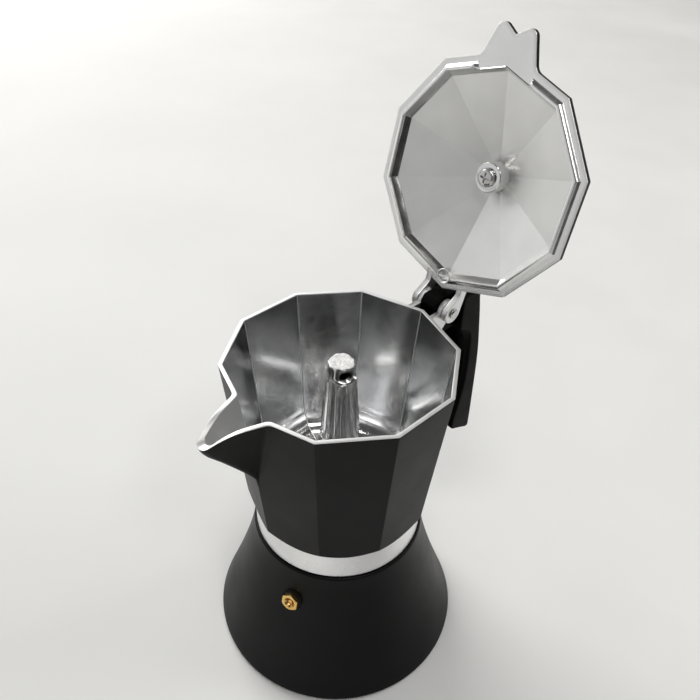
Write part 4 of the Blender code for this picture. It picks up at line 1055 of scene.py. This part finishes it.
def make_lid():
    satin, coat, bright, buffed = 0, 1, 2, 3
    cone_foot = BEAD_OUT - BEAD_WIDTH
    z0, top = LID_BOTTOM, LID_BOTTOM + LID_THICKNESS
    apex = z0 + LID_RECESS + LID_RISE
    slope = LID_RISE / cone_foot
    outside = LID_SHELL * hypot(1, slope)
    seat_z = apex + LID_SHELL * 0.8
    boss_low, hole = apex - BOSS_LENGTH, SCREW_RADIUS + GAP
    edge = 0.0007

    rows = band(bright, lid_circle(hole, boss_low), lid_circle(SCREW_HEAD_RADIUS + 0.0006, boss_low))
    for k in range(5):
        angle = radians(90 * k / 4)
        rows.append(
            (lid_circle(BOSS_RADIUS - edge * (1 - sin(angle)), boss_low + edge * (1 - cos(angle))), bright))
    boss_root = []
    inner_foot, inner_z = cone_foot - 0.0019, z0 + 0.0022
    inner_slope = (apex - inner_z) / inner_foot
    for x, y, _ in lid_ring(LID_RADIUS, 0.0):
        share = hypot(x, y) / LID_RADIUS
        boss_root.append(
            (x / share * BOSS_RADIUS / LID_RADIUS, y / share * BOSS_RADIUS / LID_RADIUS,
            apex - inner_slope * BOSS_RADIUS / share))
    rows.append((boss_root, satin))
    for share in (0.22, 0.36, 0.52, 0.68, 0.84):
        radius = inner_foot * share
        rows.append((lid_ring(radius, apex - inner_slope * radius, 0.0006 * share), satin))
    rows += band(bright, lid_ring(inner_foot, inner_z), lid_ring(inner_foot + 0.00015, inner_z - 0.0003),
                 lid_ring(cone_foot - 0.00035, z0 - BEAD_HEIGHT * 0.1))
    # The bead: share of its height at each distance outside the foot of the cone.
    crest = ((0.0, 0.62), (0.0003, 0.88), (0.0007, 1.0), (0.0012, 0.98), (0.0017, 0.86), (0.0021, 0.66),
             (0.0025, 0.38), (0.0028, 0.12), (0.003, 0.0))
    for out, rise in crest:

        def height(x, y, rise=rise):
            return z0 - BEAD_HEIGHT * bead_share(x, y) * rise

        rows.append((lid_ring(cone_foot + out, height), buffed))
    rim_edge = 0.00035
    rows += band(
        satin, tab_ring(0.0012, z0), tab_ring(rim_edge, z0), tab_ring(rim_edge * 0.3, z0 + rim_edge * 0.3))
    rows += band(
        coat, tab_ring(0.0, z0 + rim_edge), tab_ring(0.0, top - 0.0006), tab_ring(0.0002, top - 0.0002),
        tab_ring(0.0008, top), lid_ring(cone_foot + 0.0034, top), lid_ring(cone_foot + 0.0028, top + 0.0001),
        lid_ring(cone_foot + 0.0018, top + 0.001), lid_ring(cone_foot + 0.0012,
        z0 + LID_RECESS + outside - 0.0012 * slope))
    for share in (0.94, 0.75, 0.55, 0.36, 0.24):
        rows.append(
            (lid_ring(cone_foot * share, apex + outside - cone_foot * share * slope, 0.0006 * share), coat))
    rows += band(coat, lid_circle(KNOB_SEAT, seat_z), lid_circle(hole, seat_z))

    pad_y, pad_radius = BEAD_OUT - BEAD_WIDTH * 1.4, 0.0036
    low = z0 - BEAD_HEIGHT
    pad = turned(
        [(0, z0 + 0.0006), (pad_radius, z0 + 0.0006), (pad_radius, low - 0.0001),
        (pad_radius - 0.0003, low - 0.0003), (pad_radius - 0.0006, low - 0.0001),
        (pad_radius * 0.6, low + 0.0005), (0, low + 0.0009)], 40, Matrix.Translation((0, pad_y, 0)))
    ear_root = RIM_RADIUS - 0.0055
    ear = arc((HINGE_Y, HINGE_Z), EAR_RADIUS, -115, 90, 22)
    ear += [(ear_root, HINGE_Z + EAR_RADIUS + 0.0013), (ear_root, LID_BOTTOM + 0.0002),
            (RIM_RADIUS + 0.0005, LID_BOTTOM + 0.0002)]
    ears = [plate(ear, side * EAR_INSIDE, side * (EAR_INSIDE + EAR_WIDTH), side * 0.0005, satin)
            for side in (1, -1)]
    swing = opened()
    shells = [moved(shell, swing) for shell in [tube(rows), pad] + ears]
    finishes = [looks["satin"], looks["coating"], looks["mirror"], looks["buffed"]]
    build("lid_casting", shells, finishes, "cover", ["lid"])
    make_knob(swing, boss_low, seat_z)


def make_knob(swing, boss_low, seat_z):
    washer_low = seat_z + GAP
    low = washer_low + 0.0008 + GAP
    height, radius = 0.022, 0.0115
    steps = SIDES * 8
    hole, screw_top = SCREW_RADIUS + GAP, low + 0.0121
    profile = [
        (hole, low, 0.0), (0.0066, low, 0.0), (0.007, low + 0.0004, 0.0), (0.0064, low + 0.0022, 0.3),
        (0.0062, low + 0.004, 0.6), (0.0064, low + 0.007, 0.8), (0.0072, low + 0.01, 1.0),
        (0.0098, low + 0.0142, 1.0), (0.0112, low + 0.016, 1.0), (radius, low + 0.0168, 1.0),
        (radius, low + 0.0186, 1.0), (0.011, low + 0.02, 1.0), (0.0102, low + 0.0211, 0.8),
        (0.0086, low + 0.0218, 0.4), (0.005, low + height, 0.0), (0.0002, low + height, 0.0)]

    def faceted(reach, share):
        """A ring's radius, from round to ten flats as share goes from 0 to 1."""
        return lambda angle: reach * (1 + share * (FACET_COS / cos(angle % (2 * HALF_TURN) - HALF_TURN) - 1))

    rows = [(round_ring(faceted(reach, share), z, steps, True), 0) for reach, z, share in profile]
    rows += [(round_ring(reach, screw_top + GAP, steps, True), 0) for reach in (0.0002, hole)]
    build(
        "lid_knob", [moved(tube(rows), swing)], [looks["black_plastic"]], "cover", ["knob"])

    head_top = boss_low - GAP
    head_low = head_top - SCREW_HEAD_HEIGHT
    dome = [
        (0, head_low), (SCREW_HEAD_RADIUS * 0.5, head_low + 0.0001),
        (SCREW_HEAD_RADIUS * 0.78, head_low + 0.0004), (SCREW_HEAD_RADIUS * 0.93, head_low + 0.0009),
        (SCREW_HEAD_RADIUS, head_low + 0.0015), (SCREW_HEAD_RADIUS, head_top - 0.0002),
        (SCREW_HEAD_RADIUS - 0.0002, head_top), (SCREW_RADIUS, head_top), (SCREW_RADIUS, screw_top),
        (0, screw_top)]
    arm, slot = SCREW_HEAD_RADIUS * 0.55, 0.00045
    quarter = [(arm, -slot), (arm, slot), (slot, slot)]
    cross = [
        (x * c - y * d, x * d + y * c) for c, d in ((1, 0), (0, 1), (-1, 0), (0, -1)) for x, y in quarter]
    recess = tube(
        [([(x, y, z) for x, y in cross], 0) for z in (head_low - 0.001, head_low + 0.0013)], closed=False)
    screw = moved(turned(dome, 48), swing)
    build("lid_screw", [screw], [looks["steel"]], "cover", ["knob_screw"],
          modifier=lambda piece: cut(piece, [moved(recess, swing)]))


def make_hinge_pin():
    head = EAR_INSIDE + EAR_WIDTH + GAP
    wide = PIN_RADIUS + 0.001
    half = [(PIN_RADIUS, head), (wide - 0.0001, head), (wide, head + 0.0001), (wide, head + 0.0005),
            (wide - 0.0003, head + 0.0008), (wide - 0.0008, head + 0.001), (0, head + 0.001)]
    profile = [(radius, -height) for radius, height in reversed(half)] + half
    turn = Matrix.Translation((0, HINGE_Y, HINGE_Z)) @ Matrix.Rotation(pi / 2, 4, "Y")
    build("hinge_rivet", [turned(profile, 32, turn)], [looks["steel"]], "upper", ["hinge_pin"])


make_chamber()
make_boiler()
make_valve()
make_column()
make_handle()
make_lid()
make_hinge_pin()

CARRIED = {
    "base_plate": "disc", "valve_washer": "rubber", "valve_seat": "brass", "valve_spring": "steel",
    "funnel": "bright", "funnel_screen": "bright", "gasket": "silicone", "filter_plate": "bright",
    "handle_pin": "steel", "knob_washer": "rubber"}
for node, finish in CARRIED.items():
    nodes[node].data.materials.clear()
    nodes[node].data.materials.append(looks[finish])
